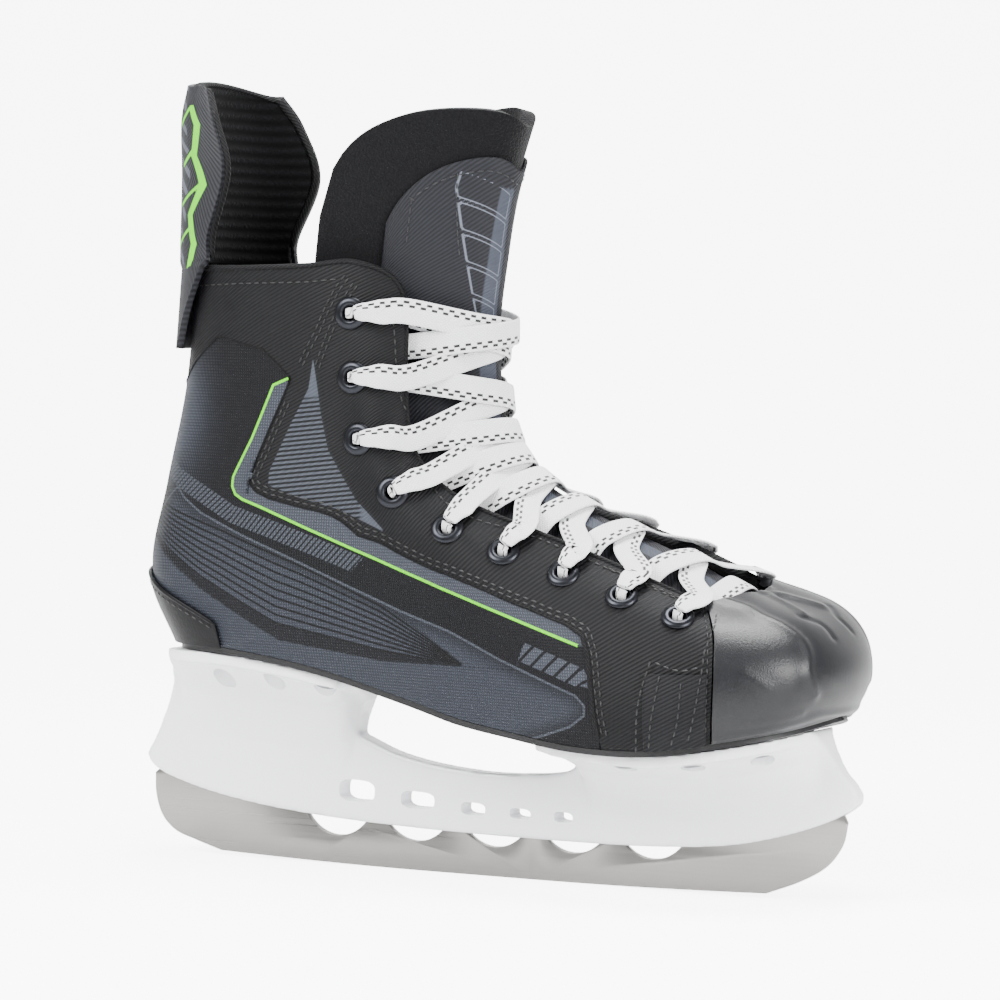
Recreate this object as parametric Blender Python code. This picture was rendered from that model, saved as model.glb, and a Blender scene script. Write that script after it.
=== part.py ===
"""Right-foot ice-hockey skate: boot, tongue, tendon guard, laces, blade holder and steel runner.

Frame: the toe points along +X, the outer side of the foot is -Y and +Z is up. The origin is on the ice,
under the middle of the runner's flat. Lengths in this file are millimetres until a mesh is made.
"""

import math

import bmesh
import bpy
from mathutils import Matrix, Vector

MM = 0.001
GAP = 0.35

# ---------------------------------------------------------------- driving dimensions

# The boot's outer surface: ribs from the centre of the heel, round the outer side, to the tip of the toe.
# A rib is five points (x, half-width, z), from the edge of the sole up to the top line.
RIBS = (
    ((-128, 0, 80.5), (-140.3, 0, 110), (-134.8, 0, 143), (-127, 0, 181), (-122.5, 0, 224)),
    ((-116, 24, 80.5), (-124.5, 30.5, 109), (-120.5, 28, 143), (-115, 25.5, 181), (-111, 28, 224)),
    ((-90, 33, 79.5), (-92, 38.5, 106), (-90, 37.5, 141), (-89, 34.5, 181), (-89, 36.5, 224)),
    ((-64, 34, 76), (-65, 40, 100), (-63, 40, 137), (-62, 36.5, 182), (-62, 37.5, 225)),
    ((-44, 35, 72), (-45, 40.5, 96), (-45, 40, 134), (-44, 37, 180), (-41, 34.5, 226.5)),
    ((-24, 36, 67), (-26, 41.5, 90), (-30, 40, 124), (-34, 37.5, 169), (-25.5, 28, 216)),
    ((-9, 38.5, 63.5), (-11, 42.5, 84.5), (-16, 41, 113.5), (-25, 37.5, 148), (-23.5, 27.5, 180)),
    ((7, 41, 59.5), (6, 44, 81), (1, 42, 105.5), (-10, 38.5, 133), (-19, 27, 157)),
    ((27, 44, 56.5), (27, 47.5, 76.5), (23, 45.5, 100), (12, 40, 124.5), (-2, 27, 143)),
    ((54, 48, 53.2), (54, 52, 71), (51, 49.5, 92), (43, 41.5, 114.5), (31, 27.5, 133.5)),
    ((80, 48, 52.8), (81, 52.5, 67.5), (80, 50.5, 87.5), (74, 43, 107), (64, 28.5, 122.5)),
    ((104, 43, 56.2), (106, 48.5, 69.5), (106, 48, 87.5), (103, 41, 101), (95, 28, 111)),
    ((126, 30, 61), (133, 34, 75), (133, 32.5, 90), (125, 25, 102.5), (105, 14, 111.5)),
    ((136.5, 0, 65), (142, 0, 77), (140.5, 0, 90), (130, 0, 101.5), (107, 0, 110)),
)
TOE = len(RIBS) - 1
TOP = 4.0
ROUND = 2 * TOE

# The foot's asymmetry: the toes lean to the inner side, and the inner side of the instep is higher.
LEAN_START, LEAN_SPAN, LEAN = 20.0, 125.0, 5.0
RISE_START, RISE_SPAN, RISE = -25.0, 60.0, 0.13
RISE_FLOOR, RISE_HEIGHT = 62.0, 60.0

# Layers of the boot's wall, as distances out from its surface.
SKIN = (-1.2, 0.0)
BOARD = (-4.0, -1.7)
LINING = (-8.0, -5.1)
CAP = (-3.0, 0.6)
CAP_LINING = (-5.2, -3.5)
OVERLAY = (0.75, 1.75)
TAIL = (0.75, 3.2)

SOLE_THICK, BOARD_THICK, BED_THICK = 2.2, 2.0, 4.0
BOARD_LIFT, BED_LIFT = 2.7, 8.0

# Eyelets of the outer side, top to bottom, as (x, z), and the points of the eyestay's edge beside them.
EYELETS = (
    (-43, 208), (-41, 184.5), (-37.5, 162), (-23, 143), (-1, 130.5), (21, 123), (45, 116), (68.5, 109),
    (90.5, 102.5),
)
EYESTAY_EDGE = (
    (-24, 209), (-24, 185), (-19.5, 163), (-12, 149), (3, 140), (26, 132), (48, 125), (71, 116.5), (94, 108),
)
EYELET_BORE, EYELET_BARREL, EYELET_FLANGE = 2.7, 3.3, 6.0

# Tongue: the middle line of its front face from the toe end to the top, then its half-width and depth.
TONGUE_LINE = (
    (112, 103), (98, 108.5), (79, 118), (57, 127), (38, 135), (22, 143.5), (9, 154.5),
    (2, 170), (-0.5, 188), (-1, 206), (1, 226), (5, 253), (14, 284),
)
TONGUE_WIDTH = (24, 28, 31, 32, 31, 29.5, 27.5, 26, 25.5, 26, 28, 32, 34)
TONGUE_DEPTH = (14, 22, 28, 32, 37, 45, 54, 59, 62, 63, 63, 61, 58)
TONGUE_BOW = 2.3
TONGUE_TOP = len(TONGUE_LINE) - 1
TONGUE_SPLIT, TONGUE_SHOULDER, TONGUE_ARCH = 9.8, 10.4, 2.7
FACE_SHARE = 0.8

# Tendon guard rows, bottom to top: z, x at the back, x of the front edge, half-width at the front edge.
GUARD_ROWS = (
    (226.5, -123.5, -103, 34), (237, -123.5, -103, 34), (260, -124, -95.5, 37), (279, -124, -101.5, 35),
    (291, -121.5, -108, 29),
)
GUARD_CREST = 3.5
GUARD_THICK, GUARD_LINING_GAP, GUARD_LINING_THICK = 3.0, 0.5, 2.4

# Where the soft pieces fold, as (x, z) of a line across the boot: the tongue's top flops forward about
# its front face, and the tendon guard leans back about its rear lower edge.
TONGUE_FOLD, GUARD_FOLD = (4.3, 221.0), (-127.0, 225.3)

# Runner and blade holder.
RUNNER_THICK, SLOT_WIDTH, SHEATH_WIDTH = 3.0, 3.6, 9.2
ROCKER_RADIUS, FLAT_HALF, ROCKER_REACH = 2600.0, 18.0, 112.0
SCALLOP_X, SCALLOP_Z, SCALLOP_RADIUS = (-62, -29, 3.5, 35.5, 67), 26.0, 15.0
BOLT_X, BOLT_LUG_TOP, BOLT_LUG_HALF = (-95, 95), (56, 37), 6.0
SEATED_TOP, DEEP_TOP, SEATED_FROM, SEATED_TO = 20.6, 33.0, -77.0, 83.0
BOLT_RADIUS = 2.5
RIVETS = ((-101, 20), (-77, 24), (-55, 25), (68, 31), (93, 31), (116, 25))
RIVET_SHANK, RIVET_HEAD = 2.0, 3.8


# ---------------------------------------------------------------- scene and meshes

def clear_scene():
    for obj in list(bpy.data.objects):
        bpy.data.objects.remove(obj)


def paint(name, colour, roughness, metallic=0.0):
    material = bpy.data.materials.new(name)
    material.use_nodes = True
    shader = material.node_tree.nodes["Principled BSDF"]
    shader.inputs["Base Color"].default_value = (*colour, 1.0)
    shader.inputs["Roughness"].default_value = roughness
    shader.inputs["Metallic"].default_value = metallic
    return material


def link(name, mesh, material=None, smooth=None):
    if material and not mesh.materials:
        mesh.materials.append(material)
    if smooth:
        mesh.shade_smooth()
        mesh.set_sharp_from_angle(angle=math.radians(smooth))
    obj = bpy.data.objects.new(name, mesh)
    bpy.context.scene.collection.objects.link(obj)
    return obj


def mesh_of(name, points, faces):
    """A mesh in metres from points in millimetres, with its faces turned outwards."""
    mesh = bpy.data.meshes.new(name)
    work = bmesh.new()
    corners = [work.verts.new(Vector(point) * MM) for point in points]
    for face in faces:
        work.faces.new([corners[i] for i in face])
    bmesh.ops.remove_doubles(work, verts=work.verts, dist=1e-6)
    bmesh.ops.recalc_face_normals(work, faces=work.faces)
    work.to_mesh(mesh)
    work.free()
    return mesh


def boolean(obj, cutter, operation="DIFFERENCE"):
    cutter.hide_render = True
    cutter.display_type = "WIRE"
    modifier = obj.modifiers.new(operation.title(), "BOOLEAN")
    modifier.operation = operation
    modifier.object = cutter
    modifier.solver = "EXACT"


def lathe(name, profile, sides, closed=False):
    """A solid turned about Z from a profile of (radius, z). A closed profile makes a ring with a bore."""
    points = []
    for radius, z in profile:
        for k in range(sides):
            angle = 2 * math.pi * (k + 0.5) / sides
            points.append((radius * math.cos(angle), radius * math.sin(angle), z))
    rows = len(profile)
    faces = []
    for i in range(rows if closed else rows - 1):
        a, b = i * sides, (i + 1) % rows * sides
        for k in range(sides):
            n = (k + 1) % sides
            faces.append((a + k, a + n, b + n, b + k))
    if not closed:
        faces.append(tuple(range(sides)))
        faces.append(tuple(range((rows - 1) * sides, rows * sides)))
    return mesh_of(name, points, faces)


def extrude_outline(name, outline, half_width, y=0.0):
    """A plate from an outline of (x, z), standing across Y."""
    count = len(outline)
    points = [(x, y - half_width, z) for x, z in outline] + [(x, y + half_width, z) for x, z in outline]
    faces = [tuple(range(count)), tuple(range(count, 2 * count))]
    for i in range(count):
        n = (i + 1) % count
        faces.append((i, n, count + n, count + i))
    return mesh_of(name, points, faces)


def grid_solid(name, rows_out, rows_in, flip=False):
    """A closed solid between two grids of points of the same size. flip swaps the diagonal of each quad."""
    high, wide = len(rows_out), len(rows_out[0])
    points = [p for row in rows_out for p in row] + [p for row in rows_in for p in row]
    back = high * wide
    faces = []
    for i in range(high - 1):
        for j in range(wide - 1):
            a, b, c, d = i * wide + j, i * wide + j + 1, (i + 1) * wide + j + 1, (i + 1) * wide + j
            halves = ((a, b, d), (b, c, d)) if flip else ((a, b, c), (a, c, d))
            faces += [*halves, *(tuple(back + k for k in reversed(half)) for half in halves)]
    for i in range(high - 1):
        for a, b in ((i * wide, (i + 1) * wide), ((i + 2) * wide - 1, (i + 1) * wide - 1)):
            faces.append((a, b, back + b, back + a))
    last = (high - 1) * wide
    for j in range(wide - 1):
        for a, b in ((j + 1, j), (last + j, last + j + 1)):
            faces.append((a, b, back + b, back + a))
    return mesh_of(name, points, faces)


# ---------------------------------------------------------------- curves and surfaces

def between(p0, p1, p2, p3, t):
    """Catmull-Rom: the smooth curve from p1 to p2."""
    bend = 2 * p0 - 5 * p1 + 4 * p2 - p3
    twist = 3 * p1 - p0 - 3 * p2 + p3
    return 0.5 * (2 * p1 + (p2 - p0) * t + bend * t * t + twist * t**3)


def along(values, t):
    """The smooth curve through values at t = 0, 1, 2 and so on."""
    last = len(values) - 1
    i = min(max(int(math.floor(t)), 0), last - 1)
    before = values[i - 1] if i > 0 else 2 * values[0] - values[1]
    after = values[i + 2] if i + 2 <= last else 2 * values[last] - values[last - 1]
    return between(before, values[i], values[i + 1], after, t - i)


def rib(k):
    """Rib k of the whole ring: 0 is the heel, TOE the toe, and the inner side follows."""
    k %= ROUND
    side = -1 if k <= TOE else 1
    return [Vector((x, side * half, z)) for x, half, z in RIBS[k if k <= TOE else ROUND - k]]


def bare(u, v):
    """A point of the symmetric boot surface: rib position u, and height v from 0, the sole, to TOP."""
    i = math.floor(u)
    around = [along(rib(i + step), v) for step in (-1, 0, 1, 2)]
    return between(*around, u - i)


def settle(point):
    """The right foot's shape from the symmetric one."""
    x, y, z = point
    forward = min(max((x - LEAN_START) / LEAN_SPAN, 0), 1)
    instep = min(max((x - RISE_START) / RISE_SPAN, 0), 1)
    height = min(max((z - RISE_FLOOR) / RISE_HEIGHT, 0), 1)
    return Vector((x, y + LEAN * forward**2, z + RISE * y * instep * instep * (3 - 2 * instep) * height))


def boot_normal(u, v):
    step = 0.02
    low, high = max(v - step, 0), min(v + step, TOP)
    left, right = (bare(u - step, v), bare(u + step, v))
    down, up = bare(u, low), bare(u, high)
    return (settle(right) - settle(left)).cross(settle(up) - settle(down)).normalized()


def boot(u, v, out=0.0):
    point = settle(bare(u, v))
    return point + boot_normal(u, v) * out if out else point


def spot(x, z, on_edge=False):
    """(u, v) of the outer side's point at x and z, or of the nearest point of its top edge."""
    def away(place):
        point = settle(bare(place[0], TOP if on_edge else min(max(place[1], 0), TOP)))
        return (point.x - x) ** 2 + (point.z - z) ** 2

    best = min(((a / 2, b / 2) for a in range(2 * TOE) for b in range(9)), key=away)
    step = 0.3
    while step > 0.002:
        steps = [(step * a, step * b) for a in (-1, 0, 1) for b in (-1, 0, 1)]
        nearer = min(((best[0] + a, best[1] + b) for a, b in steps), key=away)
        step = step / 2 if away(nearer) > away(best) - 1e-9 else step
        best = nearer
    return (best[0], TOP) if on_edge else best


def sole_height(x):
    """Height of the outsole's underside."""
    ends = [(r[0][0], r[0][2]) for r in RIBS]
    if x <= ends[0][0]:
        return ends[0][1]
    for (x0, z0), (x1, z1) in zip(ends, ends[1:]):
        if x <= x1:
            return z0 + (z1 - z0) * (x - x0) / (x1 - x0)
    return ends[-1][1]


def sole_tilt(x):
    return math.atan2(sole_height(x + 6) - sole_height(x - 6), 12)


# ---------------------------------------------------------------- boot

def spread(low, high, count):
    return [low + (high - low) * k / count for k in range(count + 1)]


SIDE_STATIONS = [
    0.04, 0.4, 0.8, 1.2, 1.6, 2, 2.5, 3, 3.5, 4, 4.5, 5, 5.5, 6, 6.5, 7, 7.5, 8, 8.5, 9, 9.2, 9.36, 9.44,
    9.5, 10, 10.5, 11,
]
TOE_STATIONS = [11.06, 11.5, 12, 12.4, 12.7, 13, 13.3, 13.6, 14, 14.5, 14.94]
PANEL_FRONT, LINING_FRONT, COLLAR_FRONT = 9.44, 9, 3
ROWS_BELOW, ROWS_ABOVE = 3, 4
ROWS = ROWS_BELOW + ROWS_ABOVE

# The seam between the printed side panel and the twill above it, as (u, v).
SEAM = (
    (0, 2.93), (0.8, 3.05), (1.6, 3.45), (2.5, 3.3), (2.9, 3.0), (3, 2.2), (4, 1.95), (5, 1.95), (7, 2.25),
    (9, 2.1), (9.2, 1.6), (9.36, 0.85), (9.44, 0.4),
)


def seam(u):
    for (u0, v0), (u1, v1) in zip(SEAM, SEAM[1:]):
        if u <= u1:
            return v0 + (v1 - v0) * (u - u0) / (u1 - u0)
    return None


def skirt(u):
    """Height v of the wall's lower edge, just above the outsole."""
    low, high, rim = 0.0, 1.0, bare(u, 0).z + SOLE_THICK + GAP
    for _ in range(12):
        middle = (low + high) / 2
        low, high = (middle, high) if bare(u, middle).z < rim else (low, middle)
    return high


def wall_rows(u):
    """The heights v that every layer of the wall shares at rib position u."""
    if u > PANEL_FRONT:
        return spread(skirt(u), TOP, ROWS)
    return spread(skirt(u), seam(u), ROWS_BELOW) + spread(seam(u), TOP, ROWS_ABOVE)[1:]


def wall(name, stations, layer, medial=False, first=None, last=None):
    """A shell of the boot's wall in one layer. first and last give its limits of v, from u and the rows."""
    if medial:
        stations = [ROUND - u for u in reversed(stations)]
    grids = []
    for out in (layer[1], layer[0]):
        grid = []
        for u in stations:
            own = min(u, ROUND - u)
            rows = wall_rows(own)
            low = first(own, rows) if first else rows[0]
            high = last(own, rows) if last else TOP
            grid.append([boot(u, min(max(v, low), high), out) for v in rows])
        grids.append(grid)
    return grid_solid(name, *grids, flip=not medial)


def side_pieces(side, medial, colours):
    seam_gap = 0.015
    panel = [u for u in SIDE_STATIONS if u <= PANEL_FRONT]
    lined = sorted([*[u for u in SIDE_STATIONS if u <= LINING_FRONT], COLLAR_FRONT + 0.08])

    def twill_foot(u, rows):
        return seam(u) + seam_gap if u <= PANEL_FRONT else rows[0]

    def lining_top(u, rows):
        return TOP if u <= COLLAR_FRONT else rows[ROWS_BELOW + 1]

    objects = {
        "quarter_board": wall("board", SIDE_STATIONS, BOARD, medial),
        "side_panel": wall("panel", panel, SKIN, medial, last=lambda u, rows: seam(u) - seam_gap),
        "twill_quarter": wall("twill", SIDE_STATIONS, SKIN, medial, first=twill_foot),
        "boot_lining": wall("lining", lined, LINING, medial, first=lambda u, rows: rows[1], last=lining_top),
    }
    return {key: link(f"{key}_{side}", mesh, colours[key], 50) for key, mesh in objects.items()}


def toe_pieces(colours):
    link("toe_cap", wall("cap", TOE_STATIONS, CAP), colours["toe_cap"], 50)
    lining = wall("cap_lining", TOE_STATIONS, CAP_LINING,
                  first=lambda u, rows: rows[1], last=lambda u, rows: rows[ROWS - 1])
    link("toe_lining", lining, colours["boot_lining"], 50)


def overlay(name, stations, low, high, layer, steps, material):
    """A patch over the wall, between the heights low and high, which are functions of the rib position."""
    heights = [spread(low(abs(u)), high(abs(u)), steps) for u in stations]
    grids = []
    for out in reversed(layer):
        grids.append([[boot(u, v, out) for v in column] for u, column in zip(stations, heights)])
    link(name, grid_solid(name, *grids), material, 50)


def overlays(colours):
    patch = [10.1, 10.4, 10.7, 10.97]
    twin = [ROUND - u for u in reversed(patch)]
    twill, leather = colours["vamp_patch"], colours["heel_patch"]
    overlay("vamp_patch_lateral", patch, skirt, lambda u: 1.9, OVERLAY, 4, twill)
    overlay("vamp_patch_medial", twin, lambda u: skirt(ROUND - u), lambda u: 1.9, OVERLAY, 4, twill)

    def heel_top(u):
        return skirt(u) + 0.12 + 0.8 * (1 - (u / 2.1) ** 2)

    heel = [-1.8, -1.5, -1.2, -0.8, -0.4, 0, 0.4, 0.8, 1.2, 1.5, 1.8]
    overlay("heel_patch", heel, skirt, heel_top, OVERLAY, 4, leather)
    tail = [-1.1, -0.8, -0.4, 0, 0.4, 0.8, 1.1]
    overlay("guard_tail", tail, lambda u: 3.3 + 0.15 * u, lambda u: TOP, TAIL, 3, colours["tendon_guard"])


def sole_slab(name, inset, lift, thick, material):
    """A plate that follows the sole's outline, set in from it and lifted above its underside."""
    stations = [0, 0.5, 1, 1.5, 2, 3, 4, 5, 6, 7, 8, 9, 10, 11, 11.5, 12, 12.5, 13]
    outline = []
    for u in stations:
        point, ahead, behind = bare(u, 0), bare(u + 0.05, 0), bare(u - 0.05, 0)
        inward = Vector((-(ahead - behind).y, (ahead - behind).x, 0)).normalized()
        outline.append(point + inward * inset)
    lower, upper = [], []
    for mirrored in (1, -1):
        for z, rows in ((lift, lower), (lift + thick, upper)):
            rows.append([settle((p.x, p.y * mirrored, sole_height(p.x) + z)) for p in outline])
    return link(name, grid_solid(name, upper, lower), material, 40)


def soles(colours):
    outsole = sole_slab("outsole", 0.2, 0, SOLE_THICK, colours["outsole"])
    board = sole_slab("insole_board", 4.8, BOARD_LIFT, BOARD_THICK, colours["insole_board"])
    sole_slab("footbed", 10.5, BED_LIFT, BED_THICK, colours["footbed"])
    return outsole, board


# ---------------------------------------------------------------- eyelets

def eyelet_places():
    """(name, centre, normal, u, v) of each eyelet, top to bottom, outer side then inner."""
    places = []
    for side, medial in (("lateral", False), ("medial", True)):
        for number, (x, z) in enumerate(EYELETS, 1):
            u, v = spot(x, z)
            u = ROUND - u if medial else u
            places.append((f"eyelet_{side}_{number}", boot(u, v), boot_normal(u, v), u, v))
    return places


def fit_eyelets(places, sides, colours):
    inside, lip, crown = BOARD[0] - 0.3, 0.5, 1.2
    profile = ((EYELET_BORE, inside), (EYELET_BORE, crown), (EYELET_FLANGE - 0.8, crown),
               (EYELET_FLANGE, lip), (EYELET_BARREL, lip), (EYELET_BARREL, inside))
    ring = lathe("eyelet", profile, 8, closed=True)
    bore = lathe("eyelet_hole", ((EYELET_BARREL + GAP, -9), (EYELET_BARREL + GAP, 9)), 8)
    bores = []
    for name, centre, normal, _, _ in places:
        turn = normal.to_track_quat("Z", "X").to_matrix().to_4x4()
        obj = link(name, ring, colours["eyelet"], 40)
        obj.matrix_world = Matrix.Translation(centre * MM) @ turn
        hole = link(f"cut_{name}", bore)
        hole.matrix_world = obj.matrix_world
        bores.append((name, hole))
    for side, pieces in sides.items():
        for name, hole in bores:
            if side in name:
                boolean(pieces["twill_quarter"], hole)
                boolean(pieces["quarter_board"], hole)


# ---------------------------------------------------------------- tongue

def tongue(s, t, out=0.0):
    """A point of the tongue's front face: s runs from the toe end to the top, t from -1 to 1 across."""
    def face(s, t):
        line = [Vector((x, 0, z)) for x, z in TONGUE_LINE]
        middle = along(line, s)
        ahead = (along(line, s + 0.05) - along(line, s - 0.05)).normalized()
        inward = Vector((-ahead.z, 0, ahead.x))
        depth = along(TONGUE_DEPTH, s) * abs(t) ** TONGUE_BOW
        return settle(middle + inward * depth + Vector((0, along(TONGUE_WIDTH, s) * t, 0)))

    point = face(s, t)
    if not out:
        return point
    step = 0.03
    across, up = face(s, t + step) - face(s, t - step), face(s + step, t) - face(s - step, t)
    return point + out * across.cross(up).normalized()


def tongue_top(t):
    arch = (1 - min(abs(t), 1) ** TONGUE_ARCH) ** (1 / TONGUE_ARCH)
    return TONGUE_SHOULDER + (TONGUE_TOP - TONGUE_SHOULDER) * arch


def tongue_sheet(name, rows, columns, layer, material):
    """A sheet of the tongue. rows gives the stations s up a column t."""
    across = [-t for t in reversed(columns[1:])] + list(columns)
    grids = [[[tongue(s, t, out) for s in rows(t)] for t in across] for out in layer]
    link(name, grid_solid(name, *grids), material, 50)


def tongue_pieces(colours):
    slit = 0.012
    felt, face = (-GAP, -6.0), (1.5, 0.2)
    columns = (0, 0.2, 0.4, 0.6, FACE_SHARE, 0.92, 1.0)
    rows = (0.3, *spread(0.9, TONGUE_SPLIT - slit, 13))

    def above(top):
        return lambda t: spread(TONGUE_SPLIT + slit, top(t), 4)

    tongue_sheet("tongue_felt_lower", lambda t: rows, columns, felt, colours["felt"])
    tongue_sheet("tongue_felt_upper", above(tongue_top), columns, felt, colours["felt"])
    tongue_sheet("tongue_face_lower", lambda t: rows[1:], columns[:-2], face, colours["tongue"])
    crest = above(lambda t: tongue_top(t / FACE_SHARE * 0.98) - 0.5)
    tongue_sheet("tongue_face_upper", crest, columns[:-2], face, colours["tongue"])


# ---------------------------------------------------------------- tendon guard

def guard(row, turn, out=0.0):
    """A point of the guard's outer face: row 0 to 4 upwards, turn -1, the outer edge, to 1 round the back."""
    def face(row, turn):
        z, back, front, half = (along([r[k] for r in GUARD_ROWS], row) for k in range(4))
        angle = math.pi / 2 * turn
        rise = GUARD_CREST * math.cos(angle) ** 2 * max(row - 3, 0)
        depth = max(math.cos(angle), 0) ** 0.8
        return Vector((front + (back - front) * depth, half * math.sin(angle), z + rise))

    point = face(row, turn)
    if not out:
        return point
    step = 0.02
    inner = max(min(turn, 1 - step), step - 1)
    across = face(row, inner - step) - face(row, inner + step)
    up = face(row + step, inner) - face(row - step, inner)
    return point + out * across.cross(up).normalized()


def guard_pieces(colours):
    turns = [-1, -0.88, -0.7, -0.45, -0.2, 0, 0.2, 0.45, 0.7, 0.88, 1]
    lining_face = -GUARD_THICK - GUARD_LINING_GAP
    skins = (
        ("tendon_guard_shell", 0, -GUARD_THICK, "tendon_guard"),
        ("tendon_guard_lining", lining_face, lining_face - GUARD_LINING_THICK, "boot_lining"),
    )
    for name, outer, inner, colour in skins:
        rows = spread(0, 4, 6)
        grids = [[[guard(row, turn, out) for row in rows] for turn in turns] for out in (outer, inner)]
        link(name, grid_solid(name, *grids), colours[colour], 50)


# ---------------------------------------------------------------- lace

LACE_WIDTH, LACE_THICK = 9.5, 1.1
LACE_PINCH_WIDTH, LACE_PINCH_THICK = 3.6, 2.2
# Where each eyelet's strands lie along the tongue, and how high they ride at the crossing.
LACE_S = (9.15, 7.95, 6.95, 6.35, 5.7, 4.75, 3.65, 2.55, 1.4)
LACE_UNDER, LACE_OVER = 3.7, 5.5
TOP_STRANDS_UP = 3.0
# How far inside the surface each strand slips under the eyestay's edge, eyelet by eyelet.
LACE_SLIP = (7.2, 7.6, 9.3, 6.7, 7.0, 7.0, 7.0, 7.0, 7.0)
TUCK_EDGE, TUCK_END, TUCK_S = (-24, 196), (-37, 196), 8.45


def lace_route(places):
    """Stations down the lace, as (point, flat direction, pinch), from one tucked end to the other."""
    count = len(EYELETS)
    anchors = {}
    for k in range(count):
        edge = spot(*EYESTAY_EDGE[k], on_edge=True)
        for side, place in ((-1, places[k]), (1, places[count + k])):
            anchors[side, k] = (*place[1:], edge[0] if side < 0 else ROUND - edge[0])

    def beside(side, k, share, out):
        _, _, u, v, edge = anchors[side, k]
        u, v = u + (edge - u) * share, v + (TOP - v) * share
        return boot(u, v, out), boot_normal(u, v)

    def over_tongue(s, t, out):
        return tongue(s, t, out), (tongue(s, t, 1) - tongue(s, t, 0)).normalized()

    def tuck(side):
        stations = []
        for (x, z), share, out in ((TUCK_EDGE, 0, -7.4), (TUCK_END, 0.5, -7.0), (TUCK_END, 1, -6.8)):
            edge, end = spot(*TUCK_EDGE, on_edge=True), spot(*TUCK_END)
            u, v = edge[0] + (end[0] - edge[0]) * share, edge[1] + (end[1] - edge[1]) * share
            u = u if side < 0 else ROUND - u
            stations.append((boot(u, v, out), boot_normal(u, v), 0.0))
        return stations

    def strand(side, k):
        """From inside eyelet k of one side, out, over the tongue and in under the other side's eyestay."""
        centre, normal, u, v, edge = anchors[side, k]
        forward = (beside(side, k, 0.3, 0)[0] - centre).normalized()
        rise = (LACE_UNDER if side < 0 else LACE_OVER) + (0 if k else TOP_STRANDS_UP)
        s0, s1 = LACE_S[k], LACE_S[k - 1] if k else TUCK_S
        stations = [(centre - normal * 5.4, forward, 1.0), (centre + normal * 1.9, forward, 1.0)]
        rising = ((0.22, 4.0, 0.75), (0.45, 3.5, 0.3), (0.75, 2.7, 0.0), (1.0, 2.65, 0.0))
        stations += [(*beside(side, k, share, out), pinch) for share, out, pinch in rising]
        for share, t in ((0.3, 0.36), (0.5, 0.0), (0.72, -0.4)):
            stations.append((*over_tongue(s0 + (s1 - s0) * share, side * t, rise), 0.0))
        if not k:
            return stations + tuck(-side)
        under = (*beside(-side, k - 1, 1.0, -LACE_SLIP[k - 1]), 0.0)
        return [*stations, under, (*beside(-side, k - 1, 0.5, -6.8), 0.4)]

    def half(side):
        stations = []
        for k in range(count - 1, -1, -1):
            stations += strand(side, k)
            side = -side
        return stations

    def bar_end(side):
        return [(*beside(side, count - 1, 0.5, -6.3), 0.4), (*beside(side, count - 1, 1.0, -5.9), 0.0)]

    bar = [*bar_end(-1), (*over_tongue(1.15, 0, LACE_UNDER), 0.0), *reversed(bar_end(1))]
    return list(reversed(half(-1))) + bar + half(1)


def lace(places, colours):
    stations = lace_route(places)
    points = [p for p, _, _ in stations]
    line = []
    for i in range(len(points) - 1):
        pieces = max(1, round((points[i + 1] - points[i]).length / 9))
        line += [(along(points, i + k / pieces), i + k / pieces) for k in range(pieces)]
    line.append((points[-1], float(len(points) - 1)))
    last = len(line) - 1
    tangents = [(line[min(i + 1, last)][0] - line[max(i - 1, 0)][0]).normalized() for i in range(last + 1)]
    face, corners, faces = stations[0][1], [], []
    for i, (point, place) in enumerate(line):
        before, after = stations[int(place)], stations[min(int(place) + 1, len(stations) - 1)]
        share = place - int(place)
        if i:
            face = tangents[i - 1].rotation_difference(tangents[i]) @ face
        sides = [flat if flat.dot(face) > 0 else -flat for _, flat, _ in (before, after)]
        face = sides[0] * (1 - share) + sides[1] * share
        face = (face - tangents[i] * face.dot(tangents[i])).normalized()
        across = tangents[i].cross(face)
        pinch = before[2] * (1 - share) + after[2] * share
        half_width = (LACE_WIDTH + (LACE_PINCH_WIDTH - LACE_WIDTH) * pinch) / 2
        half_thick = (LACE_THICK + (LACE_PINCH_THICK - LACE_THICK) * pinch) / 2
        for a, b in ((-1, -1), (1, -1), (1, 1), (-1, 1)):
            corners.append(point + across * a * half_width + face * b * half_thick)
    for i in range(last):
        for k in range(4):
            a, b = 4 * i + k, 4 * i + (k + 1) % 4
            faces.append((a, b, b + 4, a + 4))
    faces += [(0, 1, 2, 3), tuple(len(corners) - 4 + k for k in range(4))]
    link("lace", mesh_of("lace", corners, faces), colours["lace"])


# ---------------------------------------------------------------- runner and holder

def arc(centre, radius, start, end, count):
    """Points of an arc in the XZ plane, by angles in degrees."""
    angles = [math.radians(start + (end - start) * k / count) for k in range(count + 1)]
    return [(centre[0] + radius * math.cos(a), centre[1] + radius * math.sin(a)) for a in angles]


def rocker(x):
    return max(abs(x) - FLAT_HALF, 0) ** 2 / (2 * ROCKER_RADIUS)


def runner_top(clearance=0.0):
    """The runner's upper edge, toe to heel: deep at both ends, with a lug each, and seated low between."""
    deep, seat = DEEP_TOP + clearance, SEATED_TOP + clearance
    ahead, behind = SEATED_TO - clearance, SEATED_FROM + clearance
    lugs = []
    for x, z in zip(BOLT_X, BOLT_LUG_TOP):
        back, front = x - BOLT_LUG_HALF - clearance, x + BOLT_LUG_HALF + clearance
        lugs.append([(front, deep), (front, z + clearance), (back, z + clearance), (back, deep)])
    seated = [(ahead, deep), (ahead, seat), (behind, seat), (behind, deep)]
    return [(140, deep), *lugs[1], *seated, *lugs[0], (-139, deep - 1)]


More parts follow.
